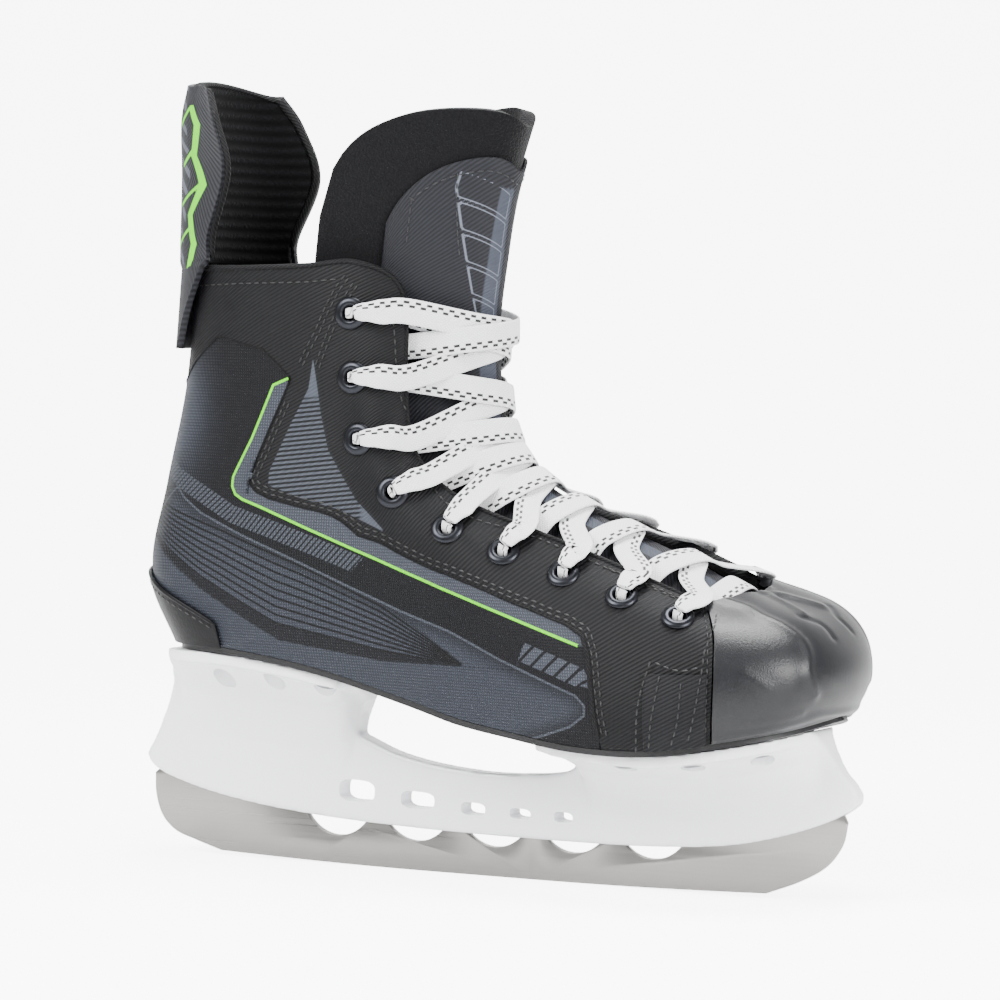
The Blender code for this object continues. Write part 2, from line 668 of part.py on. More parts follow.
def runner(colours):
    sweep = [-ROCKER_REACH, -80, -48, -FLAT_HALF, FLAT_HALF, 48, 80, ROCKER_REACH]
    bottom = [(-141.5, 30), (-141, 21.5), (-138, 13.5), (-132, 8), (-123, 4.9)]
    bottom += [(x, rocker(x)) for x in sweep]
    bottom += [(124, 6.5), (134, 12.5), (140, 20.5), (142, 29)]
    plate = extrude_outline("runner", bottom + runner_top(), RUNNER_THICK / 2)
    obj = link("runner", plate, colours["runner"], 30)
    for number, x in enumerate(SCALLOP_X):
        circle = arc((x, SCALLOP_Z), SCALLOP_RADIUS, 180, 360, 10)
        cut = link(f"cut_scallop_{number}", extrude_outline("scallop", circle, 5))
        boolean(obj, cut)


def section_loft(name, sections):
    """A solid through YZ sections, each (x, profile) with a profile of (half-width, z) from the bottom up."""
    sides = 2 * len(sections[0][1])
    points = []
    for x, profile in sections:
        points += [(x, -half, z) for half, z in profile] + [(x, half, z) for half, z in reversed(profile)]
    faces = [tuple(range(sides)), tuple(range(len(points) - sides, len(points)))]
    for i in range(len(sections) - 1):
        for k in range(sides):
            n = (k + 1) % sides
            a, b = i * sides, (i + 1) * sides
            faces.append((a + k, a + n, b + n, b + k))
    return mesh_of(name, points, faces)


FLANGE_THICK, FLANGE_TOP = 4.0, -0.35
# Sections of the holder's two towers: x, z of the lower edge, half-width at the top, and z of the top,
# which is None where the top meets the sole.
REAR_TOWER = (
    (-142.5, 37, 3, 39.5), (-137.5, 31, 4.5, 50), (-132.5, 29, 7, 60), (-128, 28, 12, 70),
    (-126, 27.5, 20, None), (-121, 27, 25.5, None), (-112, 26, 29, None), (-95, 25, 31, None),
    (-72, 24, 32, None), (-59, 28, 32, None), (-54, 42, 31.5, None), (-52, 58, 31, None), (-48.5, 64, 30, None),
)
FRONT_TOWER = (
    (33, 49.5, 32, None), (38, 42, 35, None), (44, 27, 37, None), (54, 24.5, 38.5, None),
    (80, 24, 39.5, None), (104, 25.5, 37.5, None), (120, 28, 30.5, None), (127, 30, 22.5, None),
    (130.5, 31, 14, None), (133, 32, 8, 60), (137, 33, 5, 53), (142, 34, 4, 45), (146, 36, 3, 39.5),
)
TOWER_FLARE = ((0, 0.0), (0.09, 0.4), (0.34, 0.75), (0.78, 0.96))

SHEATH = (
    (-144.5, 36.5), (-139, 31), (-123.5, 26), (-107, 22.5), (-85.5, 19.5), (-53.5, 17), (-12, 15.6),
    (32, 15.2), (64, 15.5), (95.5, 17.5), (116, 22), (135, 28.5), (145.5, 34.5), (147.5, 38.5), (143.5, 44.5), (138, 48),
    (60, 46), (38, 44), (33, 40.5), (15, 38.8), (-2, 38.6), (-22, 40.5), (-38, 43.8), (-49, 48.5), (-58, 52),
    (-130, 56), (-136, 51), (-142, 41),
)
SMALL_WINDOWS = (
    (-60, -45, 24.6, 33), (-34, -20, 23.6, 30.2), (-9, 1, 22.6, 27.6), (11, 19.5, 22.6, 26.6),
    (29, 36.5, 22.4, 26.4),
)


def box_outline(left, right, low, high):
    return ((left, low), (right, low), (right, high), (left, high))


def holder(colours):
    """The sheath that grips the runner, joined to the two flared towers, with its slot and windows."""
    obj = link("blade_holder", extrude_outline("sheath", SHEATH, SHEATH_WIDTH / 2), colours["holder"], 40)
    for tower in (REAR_TOWER, FRONT_TOWER):
        sections = []
        for x, low, half, top in tower:
            over = sole_height(x) + FLANGE_TOP if top is None else top
            under = over - FLANGE_THICK if top is None else over - (over - low) * 0.1
            core = min(SHEATH_WIDTH / 2 - 0.4, half)
            profile = [(core + (half - core) * w, low + (under - low) * rise) for w, rise in TOWER_FLARE]
            sections.append((x, profile + [(half, under), (half, over)]))
        boolean(obj, link("cut_tower", section_loft("tower", sections)), "UNION")
    seat = DEEP_TOP + 0.4
    slot = [(-141.8, -10), (-141.8, seat), *reversed(runner_top(0.4)), (142.4, seat), (142.4, -10)]
    boolean(obj, link("cut_slot", extrude_outline("slot", slot, SLOT_WIDTH / 2)))
    for left, right, low, high in SMALL_WINDOWS:
        window = ((left, low), (right, low), (right, high - 0.5), (left, high))
        boolean(obj, link("cut_window", extrude_outline("window", window, 12)))
    return obj


def bolts(holder_obj, outsole, board, colours):
    """Each bolt's forked foot straddles a lug of the runner, and its nut pulls it up from inside the boot."""
    half_x, half_y, steel = 4.0, 3.3, colours["fastener"]
    hole, above = BOLT_RADIUS + 0.5, 99
    for place, x, lug in zip(("rear", "front"), BOLT_X, BOLT_LUG_TOP):
        low, high = lug - 7, lug + 4
        nut_low = sole_height(x) + SOLE_THICK + 2 * GAP
        nut_top = nut_low + 3.6
        foot = extrude_outline("foot", box_outline(x - half_x, x + half_x, low, high), half_y)
        bolt = link(f"runner_bolt_{place}", foot, steel, 40)
        shank = link("cut_shank", lathe("shank", ((BOLT_RADIUS, high - 1), (BOLT_RADIUS, nut_top + 0.6)), 10))
        shank.location = (x * MM, 0, 0)
        boolean(bolt, shank, "UNION")
        fork = box_outline(x - half_x - 1, x + half_x + 1, low - 2, lug + 0.4)
        boolean(bolt, link("cut_fork", extrude_outline("fork", fork, SLOT_WIDTH / 2)))
        inner, outer = BOLT_RADIUS + 0.8, BOLT_RADIUS + 2.3
        profile = ((inner, nut_low), (outer, nut_low), (outer, nut_top), (inner, nut_top))
        link(f"runner_nut_{place}", lathe("nut", profile, 6, closed=True), steel).location = (x * MM, 0, 0)
        pocket = box_outline(x - half_x - GAP, x + half_x + GAP, low - GAP, high + GAP)
        boolean(holder_obj, link("cut_pocket", extrude_outline("pocket", pocket, half_y + GAP)))
        for target, radius, bottom in ((holder_obj, hole, high), (outsole, hole, 40), (board, 6.0, 40)):
            bore = link("cut_bore", lathe("bore", ((radius, bottom), (radius, above)), 8))
            bore.location = (x * MM, 0, 0)
            boolean(target, bore)


def rivets(holder_obj, outsole, board, colours):
    """Rivets through the holder's rim, the outsole and the insole board, square to the sole there."""
    grip = BOARD_LIFT + BOARD_THICK + GAP
    under = FLANGE_TOP - FLANGE_THICK - GAP
    profile = ((RIVET_HEAD - 0.6, under - 1), (RIVET_HEAD, under), (RIVET_SHANK, under),
               (RIVET_SHANK, grip), (RIVET_HEAD, grip), (RIVET_HEAD - 1.2, grip + 1.2))
    shape = lathe("rivet", profile, 6)
    well, hole_radius, seat = RIVET_HEAD + 0.5, RIVET_SHANK + 0.5, under + GAP
    sunk = lathe("sunk", ((well, -14), (well, seat), (hole_radius, seat), (hole_radius, 14)), 6)
    plain = lathe("plain", ((hole_radius, -14), (hole_radius, 14)), 6)
    for number, (x, half) in enumerate(RIVETS, 1):
        for side, y in (("lateral", -half), ("medial", half)):
            turn = Matrix.Rotation(-sole_tilt(x), 4, "Y")
            place = Matrix.Translation(settle((x, y, sole_height(x))) * MM) @ turn
            rivet = link(f"rivet_{side}_{number}", shape, colours["fastener"], 40)
            rivet.matrix_world = place
            for target, shaft in ((holder_obj, sunk), (outsole, plain), (board, plain)):
                hole = link("cut_rivet", shaft)
                hole.matrix_world = place
                boolean(target, hole)


# ---------------------------------------------------------------- folds

def hang(name, fold, pieces):
    """Parents pieces to an empty on the line they turn about."""
    place = Vector((fold[0], 0, fold[1])) * MM
    axis = bpy.data.objects.new(name, None)
    axis.location = place
    bpy.context.scene.collection.objects.link(axis)
    for piece in pieces:
        bpy.data.objects[piece].parent = axis
        bpy.data.objects[piece].matrix_parent_inverse = Matrix.Translation(-place)


def folds():
    hang("tongue_fold", TONGUE_FOLD, ("tongue_felt_upper", "tongue_face_upper"))
    hang("tendon_guard_fold", GUARD_FOLD, ("tendon_guard_shell", "tendon_guard_lining"))


# ---------------------------------------------------------------- assembly

def palette():
    black = (0.02, 0.02, 0.022)
    return {
        "quarter_board": paint("fibre_board", (0.10, 0.09, 0.08), 0.8),
        "side_panel": paint("printed_nylon", (0.06, 0.065, 0.08), 0.55),
        "twill_quarter": paint("coated_twill", (0.05, 0.05, 0.055), 0.5),
        "boot_lining": paint("knit_lining", black, 0.95),
        "toe_cap": paint("moulded_toe", (0.035, 0.037, 0.045), 0.4),
        "vamp_patch": paint("vamp_twill", (0.045, 0.045, 0.05), 0.5),
        "heel_patch": paint("heel_leatherette", (0.04, 0.042, 0.048), 0.45),
        "tendon_guard": paint("guard_twill", (0.10, 0.10, 0.12), 0.55),
        "outsole": paint("outsole_rubber", (0.02, 0.02, 0.022), 0.5),
        "insole_board": paint("insole_fibre", (0.35, 0.28, 0.2), 0.85),
        "footbed": paint("eva_foam", (0.12, 0.12, 0.13), 0.9),
        "eyelet": paint("black_nickel", (0.06, 0.065, 0.07), 0.3, 1.0),
        "felt": paint("felt", (0.025, 0.025, 0.028), 0.95),
        "tongue": paint("tongue_twill", (0.055, 0.058, 0.07), 0.6),
        "lace": paint("lace_cotton", (0.9, 0.9, 0.9), 0.85),
        "runner": paint("stainless_steel", (0.6, 0.59, 0.58), 0.3, 1.0),
        "holder": paint("white_nylon", (0.85, 0.86, 0.88), 0.25),
        "fastener": paint("zinc_steel", (0.5, 0.5, 0.5), 0.35, 1.0),
    }


def main():
    clear_scene()
    colours = palette()
    sides = {side: side_pieces(side, side == "medial", colours) for side in ("lateral", "medial")}
    toe_pieces(colours)
    overlays(colours)
    outsole, board = soles(colours)
    places = eyelet_places()
    fit_eyelets(places, sides, colours)
    tongue_pieces(colours)
    guard_pieces(colours)
    lace(places, colours)
    runner(colours)
    holder_obj = holder(colours)
    bolts(holder_obj, outsole, board, colours)
    rivets(holder_obj, outsole, board, colours)
    folds()


main()
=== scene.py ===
"""Right-foot ice-hockey skate: the fine surfaces, stitching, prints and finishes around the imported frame."""

import math

import bpy
import numpy as np
from mathutils import Matrix, Vector


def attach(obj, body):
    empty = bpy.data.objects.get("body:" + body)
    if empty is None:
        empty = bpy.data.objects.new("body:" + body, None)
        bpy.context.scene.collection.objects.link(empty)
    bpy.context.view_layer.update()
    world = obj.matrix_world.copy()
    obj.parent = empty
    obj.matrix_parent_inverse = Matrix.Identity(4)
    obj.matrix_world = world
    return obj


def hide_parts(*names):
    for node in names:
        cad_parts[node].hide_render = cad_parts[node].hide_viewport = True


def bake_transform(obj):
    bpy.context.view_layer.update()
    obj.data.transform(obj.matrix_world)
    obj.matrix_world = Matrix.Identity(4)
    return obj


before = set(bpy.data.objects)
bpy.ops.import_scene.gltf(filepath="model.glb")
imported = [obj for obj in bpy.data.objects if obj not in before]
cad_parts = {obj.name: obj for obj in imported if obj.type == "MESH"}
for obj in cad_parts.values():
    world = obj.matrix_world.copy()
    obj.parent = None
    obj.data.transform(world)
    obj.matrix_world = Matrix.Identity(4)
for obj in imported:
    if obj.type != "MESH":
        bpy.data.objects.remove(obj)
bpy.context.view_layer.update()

bl_info = {
    "name": "Hockey skate",
    "version": (1, 0, 0),
    "blender": (4, 5, 0),
    "location": "View3D > Sidebar > Skate",
    "description": "Builds a laced hockey skate piece by piece around its frame",
    "category": "Mesh",
}

MM = 0.001
# The boot's ribs from heel to toe, each from the sole up to the top edge, as (x, half the width, z) in millimetres.
RIBS = (
    ((-128, 0, 80.5), (-140.3, 0, 110), (-134.8, 0, 143), (-127, 0, 181), (-122.5, 0, 224)),
    ((-116, 24, 80.5), (-124.5, 30.5, 109), (-120.5, 28, 143), (-115, 25.5, 181), (-111, 28, 224)),
    ((-90, 33, 79.5), (-92, 38.5, 106), (-90, 37.5, 141), (-89, 34.5, 181), (-89, 36.5, 224)),
    ((-64, 34, 76), (-65, 40, 100), (-63, 40, 137), (-62, 36.5, 182), (-62, 37.5, 225)),
    ((-44, 35, 72), (-45, 40.5, 96), (-45, 40, 134), (-44, 37, 180), (-41, 34.5, 226.5)),
    ((-24, 36, 67), (-26, 41.5, 90), (-30, 40, 124), (-34, 37.5, 169), (-25.5, 28, 216)),
    ((-9, 38.5, 63.5), (-11, 42.5, 84.5), (-16, 41, 113.5), (-25, 37.5, 148), (-23.5, 27.5, 180)),
    ((7, 41, 59.5), (6, 44, 81), (1, 42, 105.5), (-10, 38.5, 133), (-19, 27, 157)),
    ((27, 44, 56.5), (27, 47.5, 76.5), (23, 45.5, 100), (12, 40, 124.5), (-2, 27, 143)),
    ((54, 48, 53.2), (54, 52, 71), (51, 49.5, 92), (43, 41.5, 114.5), (31, 27.5, 133.5)),
    ((80, 48, 52.8), (81, 52.5, 67.5), (80, 50.5, 87.5), (74, 43, 107), (64, 28.5, 122.5)),
    ((104, 43, 56.2), (106, 48.5, 69.5), (106, 48, 87.5), (103, 41, 101), (95, 28, 111)),
    ((126, 30, 61), (133, 34, 75), (133, 32.5, 90), (125, 25, 102.5), (105, 14, 111.5)),
    ((136.5, 0, 65), (142, 0, 77), (140.5, 0, 90), (130, 0, 101.5), (107, 0, 110)),
)
TOE = len(RIBS) - 1
ROUND, TOP = 2 * TOE, 4.0
LEAN_START, LEAN_SPAN, LEAN = 20.0, 125.0, 5.0
RISE_START, RISE_SPAN, RISE = -25.0, 60.0, 0.13
RISE_FLOOR, RISE_HEIGHT = 62.0, 60.0
SOLE_THICK = 2.2
TWILL_PITCH, TWILL_TURN = 0.00125, -28
TRACER_ROWS, TRACER_GAP = (0.0019, 0.0033), 0.0021


# ------------------------------------------------------------ curves and surfaces, in millimetres

def weights(f):
    """How much each of four points in a row counts, at a share f between the middle two."""
    return (0.5 * (-f + 2 * f**2 - f**3), 0.5 * (2 - 5 * f**2 + 3 * f**3),
            0.5 * (f + 4 * f**2 - 3 * f**3), 0.5 * (f**3 - f**2))


def padded(values):
    """The row with one more value at each end, carried straight on."""
    values = np.asarray(values, float)
    return np.concatenate([[2 * values[0] - values[1]], values, [2 * values[-1] - values[-2]]])


def curve(values, t):
    """The smooth curve through values at t = 0, 1, 2 and so on."""
    knots = padded(values)
    t = np.asarray(t, float)
    i = np.clip(np.floor(t).astype(int), 0, len(values) - 2)
    shares = weights(t - i)
    if knots.ndim == 1:
        return sum(w * knots[i + k] for k, w in enumerate(shares))
    return sum(w[..., None] * knots[i + k] for k, w in enumerate(shares))


def smooth_path(points, count):
    """count points along the smooth curve through points."""
    return curve(points, np.linspace(0, len(points) - 1, count))


def ring_of_ribs():
    """The ribs all the way round: down the outer side to the toe, and back along the inner side."""
    ring = []
    for k in range(ROUND):
        side = -1 if k <= TOE else 1
        rib = [(x, side * half, z) for x, half, z in RIBS[k if k <= TOE else ROUND - k]]
        ring.append(padded(rib))
    return np.array(ring)


RING = ring_of_ribs()


def bare(u, v):
    """The symmetric boot's surface: u runs round from the heel, and v up from the sole."""
    u, v = np.broadcast_arrays(np.asarray(u, float), np.asarray(v, float))
    i, j = np.floor(u).astype(int), np.clip(np.floor(v).astype(int), 0, 3)
    around, upward = weights(u - i), weights(v - j)
    return sum((around[a] * upward[b])[..., None] * RING[(i + a - 1) % ROUND, j + b]
               for a in range(4) for b in range(4))


def settle(points):
    """The right foot's shape from the symmetric one: the toes lean in and the instep is higher inside."""
    x, y, z = np.moveaxis(np.asarray(points, float), -1, 0)
    forward = np.clip((x - LEAN_START) / LEAN_SPAN, 0, 1)
    instep = np.clip((x - RISE_START) / RISE_SPAN, 0, 1)
    height = np.clip((z - RISE_FLOOR) / RISE_HEIGHT, 0, 1)
    rise = RISE * y * instep**2 * (3 - 2 * instep) * height
    return np.stack([x, y + LEAN * forward**2, z + rise], -1)


def unit(vectors):
    return vectors / np.linalg.norm(vectors, axis=-1, keepdims=True)


def boot_normal(u, v):
    """The way straight out of the boot's wall."""
    step = 0.02
    low, high = np.maximum(v - step, 0), np.minimum(v + step, TOP)
    across = settle(bare(u + step, v)) - settle(bare(u - step, v))
    return unit(np.cross(across, settle(bare(u, high)) - settle(bare(u, low))))


def boot(u, v, out=0.0):
    """The right foot's surface, moved out by millimetres."""
    u, v = np.asarray(u, float), np.asarray(v, float)
    return settle(bare(u, v)) + boot_normal(u, v) * np.asarray(out, float)[..., None]


def skirt(u):
    """Height v of the wall's lower edge, just above the outsole."""
    rim = bare(u, 0)[..., 2] + SOLE_THICK + 0.3
    low, high = np.zeros_like(rim), np.ones_like(rim)
    for _ in range(14):
        middle = (low + high) / 2
        under = bare(u, middle)[..., 2] < rim
        low, high = np.where(under, middle, low), np.where(under, high, middle)
    return high


def own(u):
    """The rib position on the outer side that mirrors u."""
    return np.minimum(np.abs(u), ROUND - u)


GIRTH = np.concatenate([[0], np.cumsum(np.linalg.norm(np.diff(bare(np.linspace(0, TOE, 400), 1.8), axis=0), axis=1))])


def cloth_place(u, points):
    """Flat cloth coordinates in metres: the girth from the heel, and the height."""
    return np.stack([np.interp(own(u), np.linspace(0, TOE, 400), GIRTH), points[..., 2]], -1) * MM


def spot(x, z, on_edge=False):
    """(u, v) of the outer side's point at x and z, or of the nearest point of its top edge."""
    def away(u, v):
        point = settle(bare(u, TOP if on_edge else min(max(v, 0), TOP)))
        return (point[0] - x) ** 2 + (point[2] - z) ** 2

    best = min(((a / 2, b / 2) for a in range(2 * TOE) for b in range(9)), key=lambda p: away(*p))
    step = 0.3
    while step > 0.002:
        steps = [(step * a, step * b) for a in (-1, 0, 1) for b in (-1, 0, 1)]
        nearer = min(((best[0] + a, best[1] + b) for a, b in steps), key=lambda p: away(*p))
        step = step / 2 if away(*nearer) > away(*best) - 1e-9 else step
        best = nearer
    return (best[0], TOP) if on_edge else best


def sole(x):
    """Height of the boot's underside at x."""
    line = smooth_path([(r[0][0], r[0][2]) for r in RIBS], 300)
    return np.interp(x, line[:, 0], line[:, 1])


def track(points, path):
    """How far along path, and how far to its left, each point is, for its nearest place on the path."""
    along, across = np.zeros(len(points)), np.full(len(points), 1e9)
    done = 0.0
    for k in range(len(path) - 1):
        start, span = path[k], path[k + 1] - path[k]
        length = np.linalg.norm(span)
        ahead = span / length
        offset = points - start
        t = offset @ ahead
        t = np.clip(t, -1e9 if k == 0 else 0, 1e9 if k == len(path) - 2 else length)
        gap = offset - t[:, None] * ahead
        side = np.sign(ahead[0] * offset[:, 1] - ahead[1] * offset[:, 0])
        distance = np.linalg.norm(gap, axis=1)
        nearer = distance < np.abs(across)
        along = np.where(nearer, done + t, along)
        across = np.where(nearer, np.where(side == 0, 1, side) * distance, across)
        done += length
    return along, across


# ------------------------------------------------------------ finishes

def linear(code):
    """A linear colour from an sRGB hex code."""
    parts = [int(code[i:i + 2], 16) / 255 for i in (1, 3, 5)]
    return [c / 12.92 if c <= 0.04045 else ((c + 0.055) / 1.055) ** 2.4 for c in parts]


def put(tree, kind, inputs=None, **settings):
    """Adds a node with its settings, values and links."""
    node = tree.nodes.new(kind)
    for key, value in settings.items():
        setattr(node, key, value)
    for key, value in (inputs or {}).items():
        socket = node.inputs[key]
        if isinstance(value, bpy.types.NodeSocket):
            tree.links.new(value, socket)
        else:
            socket.default_value = (*value, 1.0) if socket.type == "RGBA" else value
    return node


def finish(name, **values):
    """A material and its tree, with values set on the shader's own sockets."""
    material = bpy.data.materials.new(name)
    material.use_nodes = True
    shader = material.node_tree.nodes["Principled BSDF"]
    for key, value in values.items():
        shader.inputs[key.replace("_", " ")].default_value = value
    return material, material.node_tree, shader


def surface(tree, shader, colour, height, depth):
    """Gives a shader its colour, and its bump from a height of 0 to 1 that is depth metres deep."""
    tree.links.new(colour, shader.inputs["Base Color"])
    bump = put(tree, "ShaderNodeBump", {"Height": height, "Distance": depth, "Strength": 1.0})
    tree.links.new(bump.outputs[0], shader.inputs["Normal"])


def cloth_lines(tree, pitch, turn):
    """Parallel threads pitch metres apart on the cloth's own map, turned by an angle in degrees."""
    flat = put(tree, "ShaderNodeUVMap", uv_map="cloth")
    laid = put(tree, "ShaderNodeMapping", {"Vector": flat.outputs[0], "Rotation": (0, 0, math.radians(turn))})
    wave = put(tree, "ShaderNodeTexWave", {"Vector": laid.outputs[0], "Scale": 2 * math.pi / (20 * pitch)},
               bands_direction="Y")
    return wave.outputs["Fac"]


def inside(tree, value, half, soft=0.12):
    """1 where the size of a value is under half, falling to 0 over a soft edge."""
    size = put(tree, "ShaderNodeMath", {0: value}, operation="ABSOLUTE")
    ramp = put(tree, "ShaderNodeMapRange", {"Value": size.outputs[0], "From Min": half - soft,
                                            "From Max": half + soft, "To Min": 1.0, "To Max": 0.0})
    return ramp.outputs[0]


def strokes(tree, along, gap, half, soft=0.1):
    """1 on strokes whose middles lie twice gap apart, each half wide to either side."""
    turn = put(tree, "ShaderNodeMath", {0: along, 1: gap}, operation="PINGPONG").outputs[0]
    return inside(tree, turn, half, soft)


def speckle(tree, size, low, high):
    """Slow unevenness of the given size in metres, between low and high."""
    place = put(tree, "ShaderNodeTexCoord")
    noise = put(tree, "ShaderNodeTexNoise", {"Vector": place.outputs["Object"], "Scale": 1 / size, "Detail": 3.0})
    ramp = put(tree, "ShaderNodeMapRange", {"Value": noise.outputs[0], "From Min": 0.3, "From Max": 0.7,
                                            "To Min": low, "To Max": high})
    return ramp.outputs[0]


def printed(tree, field):
    """The three distances, in millimetres, that a piece's print is drawn from."""
    found = put(tree, "ShaderNodeAttribute", attribute_name=field)
    return put(tree, "ShaderNodeSeparateXYZ", {0: found.outputs["Vector"]}).outputs


def twill_colour(tree, ribs, dark, light):
    """Ribs from dark to light, the dark being painted shade in the grooves, and slow dark patches where the coating
    lies thicker.
    """
    # Painted shade: the grooves take the dark colour and the ribs the light one, following the bump.
    lit = put(tree, "ShaderNodeMix", {0: ribs, 6: dark, 7: light}, data_type="RGBA").outputs[2]
    patches = speckle(tree, 0.02, 0.0, 0.35)
    return put(tree, "ShaderNodeMix", {0: patches, 6: lit, 7: dark}, data_type="RGBA").outputs[2]


def twill_finish(name, dark, light, pitch=TWILL_PITCH, turn=TWILL_TURN, roughness=0.55):
    """Coated polyester twill: fine raised diagonal ribs with a dull sheen. The ribs are drawn coarser than real
    ones, so that they show."""
    material, tree, shader = finish(name, Roughness=roughness, Specular_IOR_Level=0.14)
    ribs = cloth_lines(tree, pitch, turn)
    surface(tree, shader, twill_colour(tree, ribs, dark, light), ribs, 0.00016)
    return material


def quarter_finish(colours):
    """The same twill with a printed shard: thin dark rules over grey, solid at its tips."""
    material, tree, shader = finish("coated_twill_printed", Roughness=0.55, Specular_IOR_Level=0.14)
    ribs = cloth_lines(tree, TWILL_PITCH, TWILL_TURN)
    depth, rule, solid = printed(tree, "print_shard")
    plain = twill_colour(tree, ribs, colours.twill_dark, colours.twill_light)
    shard = put(tree, "ShaderNodeMapRange", {"Value": depth, "From Min": -0.1, "From Max": 0.1}).outputs[0]
    rules = put(tree, "ShaderNodeMath", {0: strokes(tree, rule, 0.85, 0.42), 1: solid}, operation="SUBTRACT",
                use_clamp=True).outputs[0]
    # Painted shade: the grey ink is darkened to 0.8 in the twill's grooves.
    painted_shaded_ink = [c * 0.8 for c in colours.ink]
    grey = put(tree, "ShaderNodeMix", {0: ribs, 6: painted_shaded_ink, 7: colours.ink}, data_type="RGBA").outputs[2]
    ruled = put(tree, "ShaderNodeMix", {0: rules, 6: grey, 7: linear("#0a0a0c")}, data_type="RGBA").outputs[2]
    colour = put(tree, "ShaderNodeMix", {0: shard, 6: plain, 7: ruled}, data_type="RGBA").outputs[2]
    surface(tree, shader, colour, ribs, 0.00016)
    return material


def panel_finish(colours):
    """Coarse coated nylon weave, printed: the threads are about 1 mm apart and catch light singly, with painted shade
    in the hollows between them and painted highlight on their tops.
    """
    material, tree, shader = finish("printed_nylon_weave", Roughness=0.5, Specular_IOR_Level=0.14)
    warp, weft = cloth_lines(tree, 0.00105, 90), cloth_lines(tree, 0.0011, 0)
    cell = put(tree, "ShaderNodeMath", {0: warp, 1: weft}, operation="MULTIPLY").outputs[0]
    tone_and_painted_highlight, lime, thin = printed(tree, "print_lines")
    hatch_along, hatch_across, above = printed(tree, "print_hatch")
    block_along, block_across, fan_gap = printed(tree, "print_blocks")
    fan_place, fan_share, _ = printed(tree, "print_fan")
    # The tone mixes black to the panel grey: the grey print below the thin line, and the painted highlight on the
    # ankle.
    base = put(tree, "ShaderNodeMix", {0: tone_and_painted_highlight, 6: linear("#0b0c10"), 7: colours.steel}, data_type="RGBA").outputs[2]
    nearest = put(tree, "ShaderNodeMath", {0: fan_place, 1: 0.5}, operation="PINGPONG").outputs[0]
    apart = put(tree, "ShaderNodeMath", {0: nearest, 1: fan_gap}, operation="MULTIPLY").outputs[0]
    fan_line = put(tree, "ShaderNodeMath", {0: inside(tree, apart, 0.42, 0.15), 1: fan_share},
                   operation="MULTIPLY").outputs[0]
    base = put(tree, "ShaderNodeMix", {0: fan_line, 6: base, 7: linear("#07080a")}, data_type="RGBA").outputs[2]
    hatch = put(tree, "ShaderNodeMath", {0: strokes(tree, hatch_along, 0.95, 0.6),
                                         1: inside(tree, hatch_across, 3.3)}, operation="MULTIPLY").outputs[0]
    blocks = put(tree, "ShaderNodeMath", {0: strokes(tree, block_along, 2.6, 1.95),
                                          1: inside(tree, block_across, 3.4)}, operation="MULTIPLY").outputs[0]
    for share in (hatch, blocks, above, inside(tree, thin, 0.42)):
        base = put(tree, "ShaderNodeMix", {0: share, 6: base, 7: colours.ink}, data_type="RGBA").outputs[2]
    # Painted shade and highlight: the colour is scaled from 0.45 in the hollows between threads to 1.25 on their
    # tops.
    painted_weave_shade_and_highlight = put(tree, "ShaderNodeMapRange", {"Value": cell, "To Min": 0.45, "To Max": 1.25}).outputs[0]
    shaded = put(tree, "ShaderNodeVectorMath", {0: base, "Scale": painted_weave_shade_and_highlight}, operation="SCALE").outputs[0]
    lined = inside(tree, lime, 0.5)
    colour = put(tree, "ShaderNodeMix", {0: lined, 6: shaded, 7: colours.lime}, data_type="RGBA").outputs[2]
    surface(tree, shader, colour, cell, 0.00022)
    return material


def knit_finish(name, code, pitch=0.0016, depth=0.00025):
    """Brushed knit: matt black with soft cross ribs."""
    material, tree, shader = finish(name, Roughness=0.95, Sheen_Weight=0.06, Specular_IOR_Level=0.1)
    rib = cloth_lines(tree, pitch, 0)
    fuzz = speckle(tree, 0.0012, 0.5, 1.0)
    height = put(tree, "ShaderNodeMath", {0: rib, 1: fuzz}, operation="MULTIPLY").outputs[0]
    # Painted shade in the rib hollows, with random fuzz: the colour falls to near black where the knit's height is
    # low.
    ends = {0: height, 6: linear("#060607"), 7: linear(code)}
    surface(tree, shader, put(tree, "ShaderNodeMix", ends, data_type="RGBA").outputs[2], height, depth)
    return material


def felt_finish(colours):
    """Pressed wool felt: fibres lie every way, so it is matt with a faint pale nap."""
    material, tree, shader = finish("pressed_felt", Roughness=1.0, Sheen_Weight=0.1, Specular_IOR_Level=0.1)
    nap = speckle(tree, 0.0008, 0.0, 1.0)
    ends = {0: nap, 6: linear("#08080a"), 7: colours.felt}
    surface(tree, shader, put(tree, "ShaderNodeMix", ends, data_type="RGBA").outputs[2], nap, 0.0003)
    return material


def plastic_finish(name, colour, roughness, grain, coat=0.0):
    """Injection-moulded plastic with the faint grain of its mould."""
    material, tree, shader = finish(name, Roughness=roughness, Coat_Weight=coat, IOR=1.42)
    ends = {0: speckle(tree, 0.03, 0.0, 0.12), 6: colour, 7: [c * 0.8 for c in colour]}
    clouded = put(tree, "ShaderNodeMix", ends, data_type="RGBA").outputs[2]
    surface(tree, shader, clouded, speckle(tree, 0.0006, 0.0, 1.0), grain)
    return material


def leather_finish(name, colour):
    """Smooth synthetic leather: shallow creased grain about 1 mm across."""
    material, tree, shader = finish(name, Roughness=0.42, IOR=1.5, Specular_IOR_Level=0.12)
    place = put(tree, "ShaderNodeTexCoord")
    cells = put(tree, "ShaderNodeTexVoronoi", {"Vector": place.outputs["Object"], "Scale": 900.0})
    ends = {0: speckle(tree, 0.01, 0, 0.5), 6: colour, 7: linear("#08080a")}
    worn = put(tree, "ShaderNodeMix", ends, data_type="RGBA").outputs[2]
    surface(tree, shader, worn, cells.outputs["Distance"], 0.00006)
    return material


